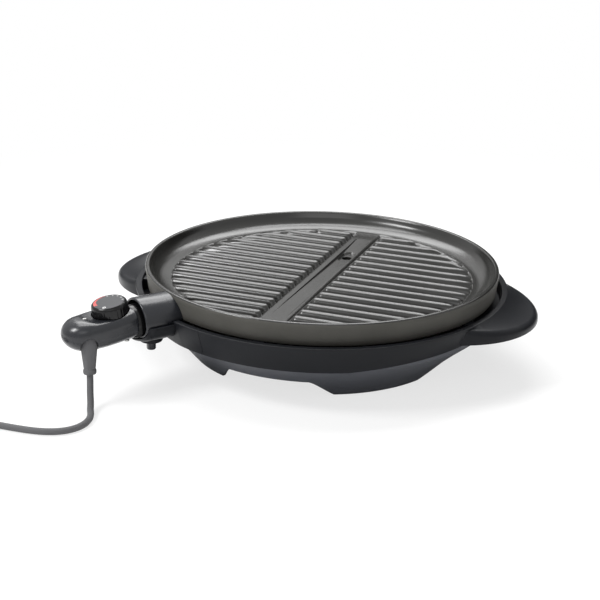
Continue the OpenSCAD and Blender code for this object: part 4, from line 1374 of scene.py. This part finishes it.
@dataclass(frozen=True)
class LowerHousing:
    """The bowl that stands on four feet and holds the drip tray."""

    feet: tuple[float, ...] = (44.6, 135.4, 224.6, 315.4)
    foot_half: float = 19.8
    flare: float = 29.5
    lift: float = 0.8
    deep: float = 122.5
    bay_half: float = 31.2

    def share(self, angle: float) -> float:
        """Gives 1 on a foot, 0 in an arch and a soft slope between them.

        Args:
            angle: The angle round the plate's axis, in degrees.

        Returns:
            The share of a foot.
        """
        away = min(abs((angle - f + 180) % 360 - 180) for f in self.feet)
        run = min(1.0, max(0.0, (away - self.foot_half) / (self.flare - self.foot_half)))
        return 1 - 0.75 * run - 0.25 * float(smooth_step(run))

    def section(self, angle: float) -> Ring:
        """Gives the bowl's outline at an angle.

        Args:
            angle: The angle round the plate's axis, in degrees.

        Returns:
            The outline as (radius, height).
        """
        f, floor, deep = self.share(angle), SIZE.floor_z, self.deep
        low = floor - (floor - self.lift) * f
        out = float(np.interp(low, [0, 20, 22], [148.5, 165, 167]))
        roof = low + (19.0 - low) * f if low < 19 else low
        wide, rise = max(165.6, out + 0.3) - out, max(20.8, low + 0.7) - low
        return [(0, floor), (deep, floor), (deep, low), (deep + 3, low), (deep + 3, roof), (out - 4, roof),
                (out - 3.4, low), (out - 0.5, low), (out + 0.2, low + 0.5),
                *((out + wide * t, low + rise * t) for t in (0.34, 0.67)),
                (168.6, 23.4), (172.4, 26.7), (176.5, 30.4), (183.6, 36), (190.9, 42), (198, 47.9),
                (198.2, 49), (198.2, 59.8), (195.2, 59.8), (195.2, 49.4), (173.6, 31.6), (163, 25), (0, 25)]

    def make(self) -> Piece:
        """Makes the bowl with its fittings.

        Returns:
            The bowl.
        """
        rings = [around(self.section(a), a) for a in np.arange(0, 360, 0.75)]
        bowl = lofted("dressed_lower_housing", rings, PLATE, 32, True)
        bay = block("control_bay", (170, -self.bay_half, 47), (230, self.bay_half, 107),
                    PLATE @ turn("Z", SIZE.control_turn))
        carved(bowl, [bay], 32)
        settle(bowl, Body.BASE, BOWL_PLASTIC, "lower_housing")
        self.fittings()
        return bowl

    @staticmethod
    def fittings() -> None:
        """Makes the screw bosses, the shield's posts and the tray's stops inside the bowl."""
        boss = spun("boss", [(2, 0), (4.5, 0), (4.5, 12.9), (4.1, 13.3), (2, 13.3)], 32, HERE)
        post = spun("post", [(0, 0), (5, 0), (4, 3), (4, 26.4), (3.5, 26.8), (0, 26.8)], 32, HERE)
        stop = block("stop", (-2.5, -6, 0), (2.5, 6, 4))
        for name, part, radius, height, angles in (
                ("screw_bosses", boss, 189.5, 46.5, [SIZE.control_turn + (i + 0.5) * 60 for i in range(6)]),
                ("shield_posts", post, 140, 25, range(30, 360, 60)),
                ("tray_stops", stop, 95.8, 24.9, range(0, 360, 90))):
            set_out(name, part, spots(radius, angles, height), Body.BASE, BOWL_PLASTIC)


# ---------------------------------------------------------------- the control and its collar


@dataclass(frozen=True)
class ControlShells:
    """The control's body: two shells round a knob's saddle, and the neck that enters the collar."""

    start: float = 245.3
    full: float = 301.5
    end: float = 322.5
    wall: float = 2.4
    round_off: float = 2.2
    saddle: float = 3.3
    dish: tuple[float, float] = (20.6, 15.0)
    room_up: float = -2.9
    room_dish: tuple[float, float] = (23.0, 3.0)
    seam: float = 0.15
    arch_r: float = 9.3
    arch_x: float = 299.6
    arch_y: tuple[float, float] = (9.0, 40.0)
    arch_z: float = -8.6
    arch_slant: float = 0.22
    neck_r: float = 19.8
    neck_low: float = -11.4
    wide: Curve = ((245, 22), (250, 22.9), (257, 23.9), (267, 24.8), (280, 25), (290, 24.2), (301.5, 22.4),
                   (322.5, 21.4))
    up: Curve = ((245, 19.9), (250, 20.2), (257, 19), (267, 17.2), (277, 16.1), (288, 15.5), (301.5, 15.7),
                 (322.5, 15.6))
    down: Curve = ((245, 14.9), (257, 15.9), (267, 16.8), (280, 17.8), (290, 18.2), (301.5, 17.8),
                   (322.5, 17.2))
    belly: Curve = ((245, 1.75), (262, 1.9), (285, 2.15), (322.5, 2.25))
    square: Curve = ((245, 3.2), (252, 3.8), (260, 4.3), (280, 4.1), (292, 3.5), (303, 2.8), (322.5, 2.2))
    index: Point = (297.6, 1.0, 15.43)
    screws: tuple[Point, ...] = ((256, -12.5, -12.2), (256, 12.5, -12.2), (310.5, 0, -13.2))

    @staticmethod
    def deck(x: np.ndarray, up: float) -> np.ndarray:
        """Gives the height of the plane that lies up above the knob's base, at places along the body."""
        lean = math.radians(SIZE.knob_lean)
        return SIZE.knob_up + up / math.cos(lean) - (x - SIZE.knob_x) * math.tan(lean)

    def ring(self, x: float, inset: float, shrink: float = 1.0) -> np.ndarray:
        """Gives the body's section at a place along it.

        Args:
            x: The place.
            inset: How far inside the outer surface it lies.
            shrink: The share of its size that the round end leaves.

        Returns:
            The section's points.
        """
        wide, up, down, belly, square = (curve(x, *pairs) for pairs in (
            self.wide, self.up, self.down, self.belly, self.square))
        w, u, d = ((size - inset) * shrink for size in (wide, up, down))
        a, b, c, e = quarter(w, u, square), quarter(u, w, square), quarter(w, d, belly), quarter(d, w, belly)
        flat = np.concatenate([a, np.stack([-b[:, 1], b[:, 0]], 1), -c, np.stack([e[:, 1], -e[:, 0]], 1)])
        return self.dished(np.full(len(flat), x), *flat.T, inset)

    def dished(self, x: np.ndarray, y: np.ndarray, z: np.ndarray, inset: float) -> np.ndarray:
        """Lowers the top round the knob to the saddle, which lies parallel to the knob.

        Args:
            x: Places along the body.
            y: Places across it.
            z: Heights.
            inset: How far inside the outer surface they lie.

        Returns:
            The lowered points.
        """
        foot = SIZE.knob_x + (z - SIZE.knob_up) * math.tan(math.radians(SIZE.knob_lean))
        up, (near, fade) = (self.room_up, self.room_dish) if inset else (self.saddle, self.dish)
        away = smooth_step((np.hypot(x - foot, y) - near) / fade)
        over = np.maximum(z - self.deck(x, up), 0)
        return np.stack([x, y, z - np.where(z > 0, over * (1 - away), 0)], 1)

    def form(self, name: str, inset: float) -> Piece:
        """Makes the body's closed form, or the room inside it.

        Args:
            name: The piece's name.
            inset: How far inside the outer surface it lies.

        Returns:
            The piece.
        """
        start, soft = self.start + (self.wall if inset else 0), 0.01 if inset else self.round_off
        reach = self.end - inset - self.full
        rings = [self.ring(start + soft * (1 - math.cos(a)), inset + soft * (1 - math.sin(a)))
                 for a in np.linspace(0, math.pi / 2, 6)]
        rings += [self.ring(x, inset) for x in np.linspace(start + soft, self.full, 48)[1:]]
        rings += [self.ring(self.full + reach * math.sin(a), inset, math.cos(a))
                  for a in np.radians(np.linspace(0, 89.3, 20)[1:])]
        return lofted(name, rings, CONTROL, 50)

    def make(self) -> None:
        """Makes the two shells, the screws' heads, the neck and the index mark."""
        body = self.form("body", 0)
        pocket = [(0, -0.4), (20, -0.4), (20.1, 2.2), (20.5, 3.2), (21.6, 4.4), (21.6, 22), (0, 22)]
        cuts = [self.form("room", self.wall), spun("pocket", pocket, 128, KNOB), self.arch(),
                rod("shaft_hole", 4.3, -30, 4, 48, KNOB), rod("relief_hole", 9.6, -11, 12, 64, RELIEF)]
        cuts += [rod("sink", 3.3, -60, up, 32, CONTROL, move(x, y, 0)) for x, y, up in self.screws]
        carved(body, cuts, 50)
        self.heads()
        for side, low, high in (("upper", SIZE.split + self.seam, 60),
                                ("lower", -60, SIZE.split - self.seam)):
            half = link(bpy.data.objects.new(f"dressed_{side}_shell", body.data.copy()))
            carved(half, [block("keep", (230, -40, low), (340, 40, high), CONTROL)], 40, "INTERSECT")
            settle(half, Body.CONTROL, CONTROL_PLASTIC, f"control_{side}_shell")
        bpy.data.objects.remove(body)
        self.neck()
        self.mark()

    def heads(self) -> Piece:
        """Makes the heads of the three screws that hold the shells together.

        Returns:
            The heads as one piece.
        """
        outline = [(0, -1.7), (2.2, -1.7), (2.8, -1.3), (3.0, -0.6), (3.0, 0), (0, 0)]
        cross = [block("cross", (-a, -b, -3), (a, b, -0.7)) for a, b in ((1.7, 0.32), (0.32, 1.7))]
        head = carved(spun("head", outline, 40, HERE), cross, 30)
        places = [(*screw, 20.0) for screw in self.screws]
        return set_out("dressed_shell_screws", head, places, Body.CONTROL, SCREW_STEEL, "shell_screws",
                       frame_of=CONTROL)

    def arch(self) -> Piece:
        """Makes the cutter of the arch over the cord's relief, in the side of the body.

        Returns:
            The cutter.
        """
        r, near = self.arch_r, self.arch_y[0]
        outline = [(r * math.cos(a), r * math.sin(a) + self.arch_z) for a in np.linspace(0, math.pi, 25)]
        outline += [(-r, -40), (r, -40)]
        rings = [[(self.arch_x + x + self.arch_slant * (y - near), y, z) for x, z in outline]
                 for y in self.arch_y]
        return lofted("arch", rings, CONTROL)

    def neck(self) -> Piece:
        """Makes the dark neck between the body and the collar.

        Returns:
            The neck.
        """
        t = np.linspace(0, FULL, 96, endpoint=False)
        rings = [np.stack([np.full_like(t, x), r * np.cos(t), np.maximum(r * np.sin(t), self.neck_low)], 1)
                 for x, r in ((236, self.neck_r - 0.5), (236.4, self.neck_r), (247.6, self.neck_r))]
        outer = lofted("dressed_control_neck", rings, CONTROL)
        room = rod("neck_room", 16.4, 0, 30, 64, CONTROL, move(230, 0, 1.5) @ turn("Y", 90))
        carved(room, [block("neck_floor", (230, -30, -30), (260, 30, self.neck_low + 1), CONTROL)], 40)
        return settle(carved(outer, [room], 40), Body.CONTROL, KNOB_PLASTIC)

    def mark(self) -> Piece:
        """Makes the lit index mark, which lies in the body's skin.

        Returns:
            The mark.
        """
        x0, y0, z0 = self.index
        outline = rounded([(-2.0, -0.9, 0.8), (2.0, -0.9, 0.5), (2.0, 0.9, 0.5), (-2.0, 0.9, 0.8)], 4)
        rings = [[(x0 + x * k, y0 + y * k, z0 + z) for x, y in outline]
                 for z, k in ((-3.0, 1.0), (0.05, 1.0), (0.22, 0.85))]
        return settle(lofted("dressed_index_mark", rings, CONTROL), Body.CONTROL, LAMP_LENS, "pilot_lamp")


@dataclass(frozen=True)
class ControlCollar:
    """The plate's collar, which the control plugs into."""

    shallow: float = 9.0
    lip: float = 239.2
    inner_r: float = 23.0
    outer_r: float = 26.0
    root: float = 192.5
    steps: int = 144

    def ring(self, x: float, r: float) -> np.ndarray:
        """Gives the collar's section, which is round above and shallow below.

        Args:
            x: The place along the collar.
            r: The section's radius.

        Returns:
            The section's points.
        """
        t = np.linspace(0, FULL, self.steps, endpoint=False)
        deep = np.where(np.sin(t) < 0, r - self.shallow, r)
        return np.stack([np.full(self.steps, x), r * np.cos(t), deep * np.sin(t)], 1)

    def barrel(self, name: str, r: float, low: float, high: float) -> Piece:
        """Makes a solid of the collar's section between two places."""
        return lofted(name, [self.ring(x, r) for x in (low, high)], CONTROL)

    def make(self) -> Piece:
        """Makes the collar.

        Returns:
            The collar.
        """
        e, inner, outer = self.lip, self.inner_r, self.outer_r
        path = [(205.5, inner), (e - 1.2, 23.4), (e - 0.4, 23.8), (e, 24.5), (e - 0.2, 25.2),
                (e - 0.9, 25.75), (e - 2.2, outer), (216, outer), (self.root, outer), (self.root, inner)]
        tube = lofted("dressed_control_collar", [self.ring(x, r) for x, r in path], CONTROL, 40, True)
        wall = merged_copy("control_collar", 40)
        carved(wall, [self.barrel("keep", inner + 0.3, 190, 206.5)], 40, "INTERSECT")
        carved(tube, [wall], 40, "UNION")
        skirt = spun("skirt", [(0, 30), (191.1, 30), (201.3, 105), (0, 105)], 360, PLATE)
        carved(tube, [skirt], 40)
        return settle(tube, Body.PLATE, CONTROL_PLASTIC, "control_collar")


@dataclass(frozen=True)
class ControlCradle:
    """The scoop on the ring that carries the collar, and the release button's boss under it."""

    tip: float = 243.0
    bend: float = 231.0
    edge: float = 0.3
    half_wide: float = 30.6
    deep: float = 21.4
    tip_round: float = 0.96
    tip_rise: float = 0.16
    fall: tuple[float, float, float] = (4.0, 8.0, 12.8)
    wall: float = 2.4
    gap: float = 0.13
    button_x: float = 220.5
    wire_r: float = 0.3
    coil_r: float = 3.8
    coil_z: tuple[float, float] = (-22.0, -19.4)

    def scoop(self, name: str, inset: float, low: float) -> Piece:
        """Makes the scoop, or the trough inside it when inset is above 0.

        Args:
            name: The piece's name.
            inset: How far inside the outer surface it lies.
            low: Where it starts.

        Returns:
            The piece.
        """
        length = self.tip - self.bend
        start, run, drop = self.fall
        t = np.linspace(0, math.pi, 49)
        rings = []
        for x in [*np.linspace(low, self.bend, 8)[:-1], *(self.bend + length * np.sin(
                np.linspace(0, math.pi / 2, 20)))]:
            share = math.sqrt(max(0.0, 1 - (max(0.0, x - self.bend) / length) ** 2 * self.tip_round))
            wide = (self.half_wide - inset) * share
            deep = (self.deep - inset) * (1 - self.tip_rise * (1 - share))
            top = 40.0 if inset else self.edge - drop * float(smooth_step((x - self.bend - start) / run))
            low_z = np.minimum(-deep * np.sin(t), top - 0.02)
            lower = np.stack([np.full_like(t, x), wide * np.cos(t), low_z], 1)
            rings.append(np.vstack([lower, [[x, -wide, top], [x, wide, top]]]))
        return lofted(name, rings, CONTROL, 40)

    def make(self) -> None:
        """Makes the cradle, its boss, the button and its spring."""
        half = SIZE.gap_half - self.gap
        spread = np.linspace(-half, half, 41) + SIZE.control_turn
        rings = [around(UpperHousing.ring_section(a), a) for a in spread]
        cradle = lofted("dressed_control_cradle", rings, PLATE, 40)
        carved(cradle, [self.scoop("scoop", 0, 203)], 40, "UNION")
        at = move(self.button_x, 0, 0)
        cuts = [self.scoop("trough", self.wall, 180), ControlCollar().barrel("barrel", 26.4, 140, 260),
                rod("hole", 9.0, -40, -10, 48, CONTROL, at)]
        carved(cradle, cuts, 40)
        settle(cradle, Body.BASE, RING_PLASTIC, "control_cradle")
        boss = [(5.35, -24.9), (10.2, -24.9), (11.9, -24.3), (12.6, -22.8), (12.3, -20.6), (9.6, -18.2),
                (8.6, -18.2), (8.6, -23.3), (5.35, -23.3)]
        settle(spun("button_boss", boss, 72, CONTROL, at), Body.BASE, RING_PLASTIC)
        button = [(0, -34.6), (3.4, -34.6), (4.5, -34.2), (5, -33.3), (5, -23.25), (6.2, -23.25),
                  (6.2, -22.6), (5.9, -22.4), (2, -22.4), (2, -19.4), (0, -19.4)]
        settle(spun("dressed_release_button", button, 48, CONTROL, at), Body.BUTTON, CONTROL_PLASTIC,
               "release_button")
        self.spring()

    def spring(self) -> Piece:
        """Makes the button's coil spring, which rides on the base and keeps its shape.

        Returns:
            The spring.
        """
        low, high = self.coil_z
        spin = np.linspace(0, FULL, 12, endpoint=False)
        reach = self.coil_r + self.wire_r * np.cos(spin)
        rings = []
        for t in np.linspace(0, 3.5, 127):
            height = low + (high - low) * float(smooth_step((t - 0.35) / 2.8))
            rings.append(np.stack([self.button_x + reach * math.cos(FULL * t), reach * math.sin(FULL * t),
                                   height + self.wire_r * np.sin(spin)], 1))
        spring = lofted("dressed_button_spring", rings, CONTROL, 60)
        settle(spring, Body.BASE, SCREW_STEEL, "button_spring")
        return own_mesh(spring)


# ---------------------------------------------------------------- the knob


@dataclass(frozen=True)
class TemperatureKnob:
    """The knob with its grip, its dial and the dial's printed scale."""

    flutes: int = 24
    flute_deep: float = 0.28
    flute_r: float = 18.8
    flute_low: float = 0.9
    flute_end: float = 13.4
    flute_fade: float = 3.0
    dial_r: float = 16.4
    dial_low: float = 13.45
    face: float = 14.42
    print_z: float = 0.05
    notch: float = 138.0
    off: float = 43.0
    tick_r: tuple[float, float] = (13.9, 15.8)
    tick_half: float = 0.35
    tick_angles: tuple[float, ...] = (-112, -135, -158, -181, -204)
    profile: Curve = (
        (17.6, 0.3), (18.9, 0.5), (19.25, 1.0), (19.3, 2.0), (19.3, 6.0), (19.3, 10.4), (19.1, 11.8),
        (18.5, 13.2), (17.7, 14.1), (17.0, 14.5), (16.6, 14.35), (16.5, 13.4), (0.05, 13.4), (0.05, 5.0),
        (4.4, 5.0), (4.4, 0.3))

    def make(self) -> None:
        """Makes the knob, the dial and the scale."""
        steps = self.flutes * 12
        t = FULL * np.arange(steps) / steps
        wave = self.flute_deep * np.maximum(np.cos(t * self.flutes), 0) ** 2
        rings = []
        for r, z in self.profile:
            fluted = r > self.flute_r and z > self.flute_low
            fade = float(smooth_step((self.flute_end - z) / self.flute_fade)) if fluted else 0.0
            reach = r - wave * fade
            rings.append(np.stack([reach * np.cos(t), reach * np.sin(t), np.full(steps, z)], 1))
        knob = lofted("dressed_temperature_knob", rings, KNOB, 40, True)
        cut = rod("notch", 1.5, 0, 6, 24, KNOB, turn("Z", self.notch) @ move(16.9, 0, 13.9) @ turn("Y", 78))
        settle(carved(knob, [cut], 40), Body.KNOB, KNOB_PLASTIC, "temperature_knob")
        r, face = self.dial_r, self.face
        dial = [(0, self.dial_low), (r, self.dial_low), (r, face - 0.2), (r - 0.2, face), (0, face)]
        settle(spun("dressed_knob_dial", dial, 96, KNOB), Body.KNOB, DIAL_GREY, "knob_dial")
        settle(self.band("heat_scale", -104, -6, 0.5, 4.2), Body.KNOB, MARK_RED)
        ring = self.printed(0.95, 1.75)
        off = spun("off_mark", ring, 40, KNOB, turn("Z", self.off) @ move(13.3, 0, 0))
        settle(off, Body.KNOB, MARK_WHITE)
        self.ticks()

    def printed(self, inner: float, outer: float) -> Ring:
        """Gives the outline of a printed layer between two radii, half sunk into the dial's face."""
        low, high = self.face - self.print_z, self.face + self.print_z
        return [(inner, low), (outer, low), (outer, high), (inner, high)]

    def band(self, name: str, first: float, last: float, thin: float, thick: float) -> Piece:
        """Makes a printed band along the dial's edge that grows from one end to the other.

        Args:
            name: Its name.
            first: The angle of its thin end, in degrees.
            last: The angle of its thick end.
            thin: Its least width.
            thick: Its greatest width.

        Returns:
            The band.
        """
        outer = self.dial_r - 0.35
        rings = []
        for s in np.linspace(0, 1, 40):
            inner = outer - thin - (thick - thin) * s ** 1.3
            rings.append(around(self.printed(inner, outer), first + (last - first) * s))
        return lofted(name, rings, KNOB)

    def ticks(self) -> Piece:
        """Makes the short printed lines of the scale.

        Returns:
            The lines as one piece.
        """
        form = Form()
        (low, high), half = self.tick_r, self.tick_half
        for angle in self.tick_angles:
            c, s = math.cos(math.radians(angle)), math.sin(math.radians(angle))
            outline = [(r * c - w * s, r * s + w * c) for r, w in (
                (low, -half), (high, -half), (high, half), (low, half))]
            form.loft(drawn(outline, self.face - self.print_z, self.face + self.print_z))
        return settle(form.make("scale_ticks", KNOB), Body.KNOB, MARK_WHITE)


# ---------------------------------------------------------------- the cord's fittings


@dataclass(frozen=True)
class CordFittings:
    """The strain relief, the tie round the coil and the plug."""

    tie_edge: float = 0.35
    pin_x: float = 9.5

    def make(self) -> list[Piece]:
        """Makes the pieces on the cord.

        Returns:
            The relief, the tie, the plug and its pins.
        """
        outline = [(0, -8.8), (8.7, -8.8), (9, -8.4), (9, -1.5), (8.75, 1.5), (6.35, 23.6), (6.1, 24.3),
                   (6.15, 24.8), (6.8, 25.7), (6.95, 27), (6.9, 29), (6.4, 30.2), (5.2, 30.7), (0, 30.7)]
        relief = spun("dressed_strain_relief", outline, 72, RELIEF, sharp=50)
        settle(relief, Body.CONTROL, CORD_RUBBER, "strain_relief")
        tie = softened(merged_copy("coil_tie"), self.tie_edge, 30)
        settle(tie, Body.CONTROL, KNOB_PLASTIC, "coil_tie")
        return [relief, tie, self.plug(), self.pins()]

    @staticmethod
    def plug() -> Piece:
        """Makes the plug's body, with grip ribs on its neck.

        Returns:
            The plug's body.
        """
        outline = [(0, 0), (5.4, 0), (6.3, 0.6), (6.9, 2.4)]
        for z in (3.2, 6.2, 9.2, 12.2):
            outline += [(7, z), (6.2, z + 0.35), (6.2, z + 1.3), (7.2, z + 1.65), (7.25, z + 2.6)]
        outline += [(7.6, 15.6), (9, 17.6), (12.2, 20.6), (15.4, 24), (17.6, 27.6), (18.6, 31.2),
                    (18.8, 34.5), (18.8, 43.6), (18.5, 45), (17.4, 45.9), (15.2, 46), (0, 46)]
        return settle(spun("dressed_plug_body", outline, 96, PLUG), Body.CONTROL, KNOB_PLASTIC, "plug_body")

    def pins(self) -> Piece:
        """Makes the plug's two pins, which are thicker at the root.

        Returns:
            The pins as one piece.
        """
        form = Form()
        for x in (-self.pin_x, self.pin_x):
            form.lathe([(0, 45.9), (2.4, 45.9), (2.4, 55.5), (2.2, 55.7), (2.2, 62.4), (1.9, 63.9),
                        (1.1, 64.8), (0, 65)], 40, move(x, 0, 0))
        return settle(form.make("dressed_plug_pins", PLUG), Body.CONTROL, PIN_NICKEL, "plug_pins")


# ---------------------------------------------------------------- the scene


PLAIN_NODES: dict[Finish, tuple[str, ...]] = {
    PAD_RUBBER: ("foot_pads",),
    SCREW_STEEL: ("housing_screws", "grip_screws", "collar_screws", "cord_clamp_screws"),
    TRAY_STEEL: ("heat_shield", "drip_tray", "element_clips"),
    RING_PLASTIC: ("grip_cover_right", "grip_cover_left", "spring_cup"),
    HEATER_SHEATH: ("heating_element",),
    PIN_NICKEL: ("terminal_pins", "temperature_probe", "knob_shaft"),
    CERAMIC: ("terminal_insulators", "thermostat", "cord_clamp"),
    BRASS: ("probe_guide", "contact_springs", "thermostat_contacts"),
    KNOB_PLASTIC: ("contact_block",),
}


def main() -> None:
    """Makes the scene."""
    logging.basicConfig(level=logging.INFO)
    bpy.context.scene.view_settings.view_transform = "Standard"
    for part in (Viewpoint(), Studio(), MainsCord(), GrillPlate(), UpperHousing(), LowerHousing(),
                 ControlCollar(), ControlCradle(), ControlShells(), TemperatureKnob()):
        part.make()
        LOG.info("made %s", type(part).__name__)
    for finish, nodes in PLAIN_NODES.items():
        for node in nodes:
            dress(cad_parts[node], finish)


if __name__ == "__main__":
    main()
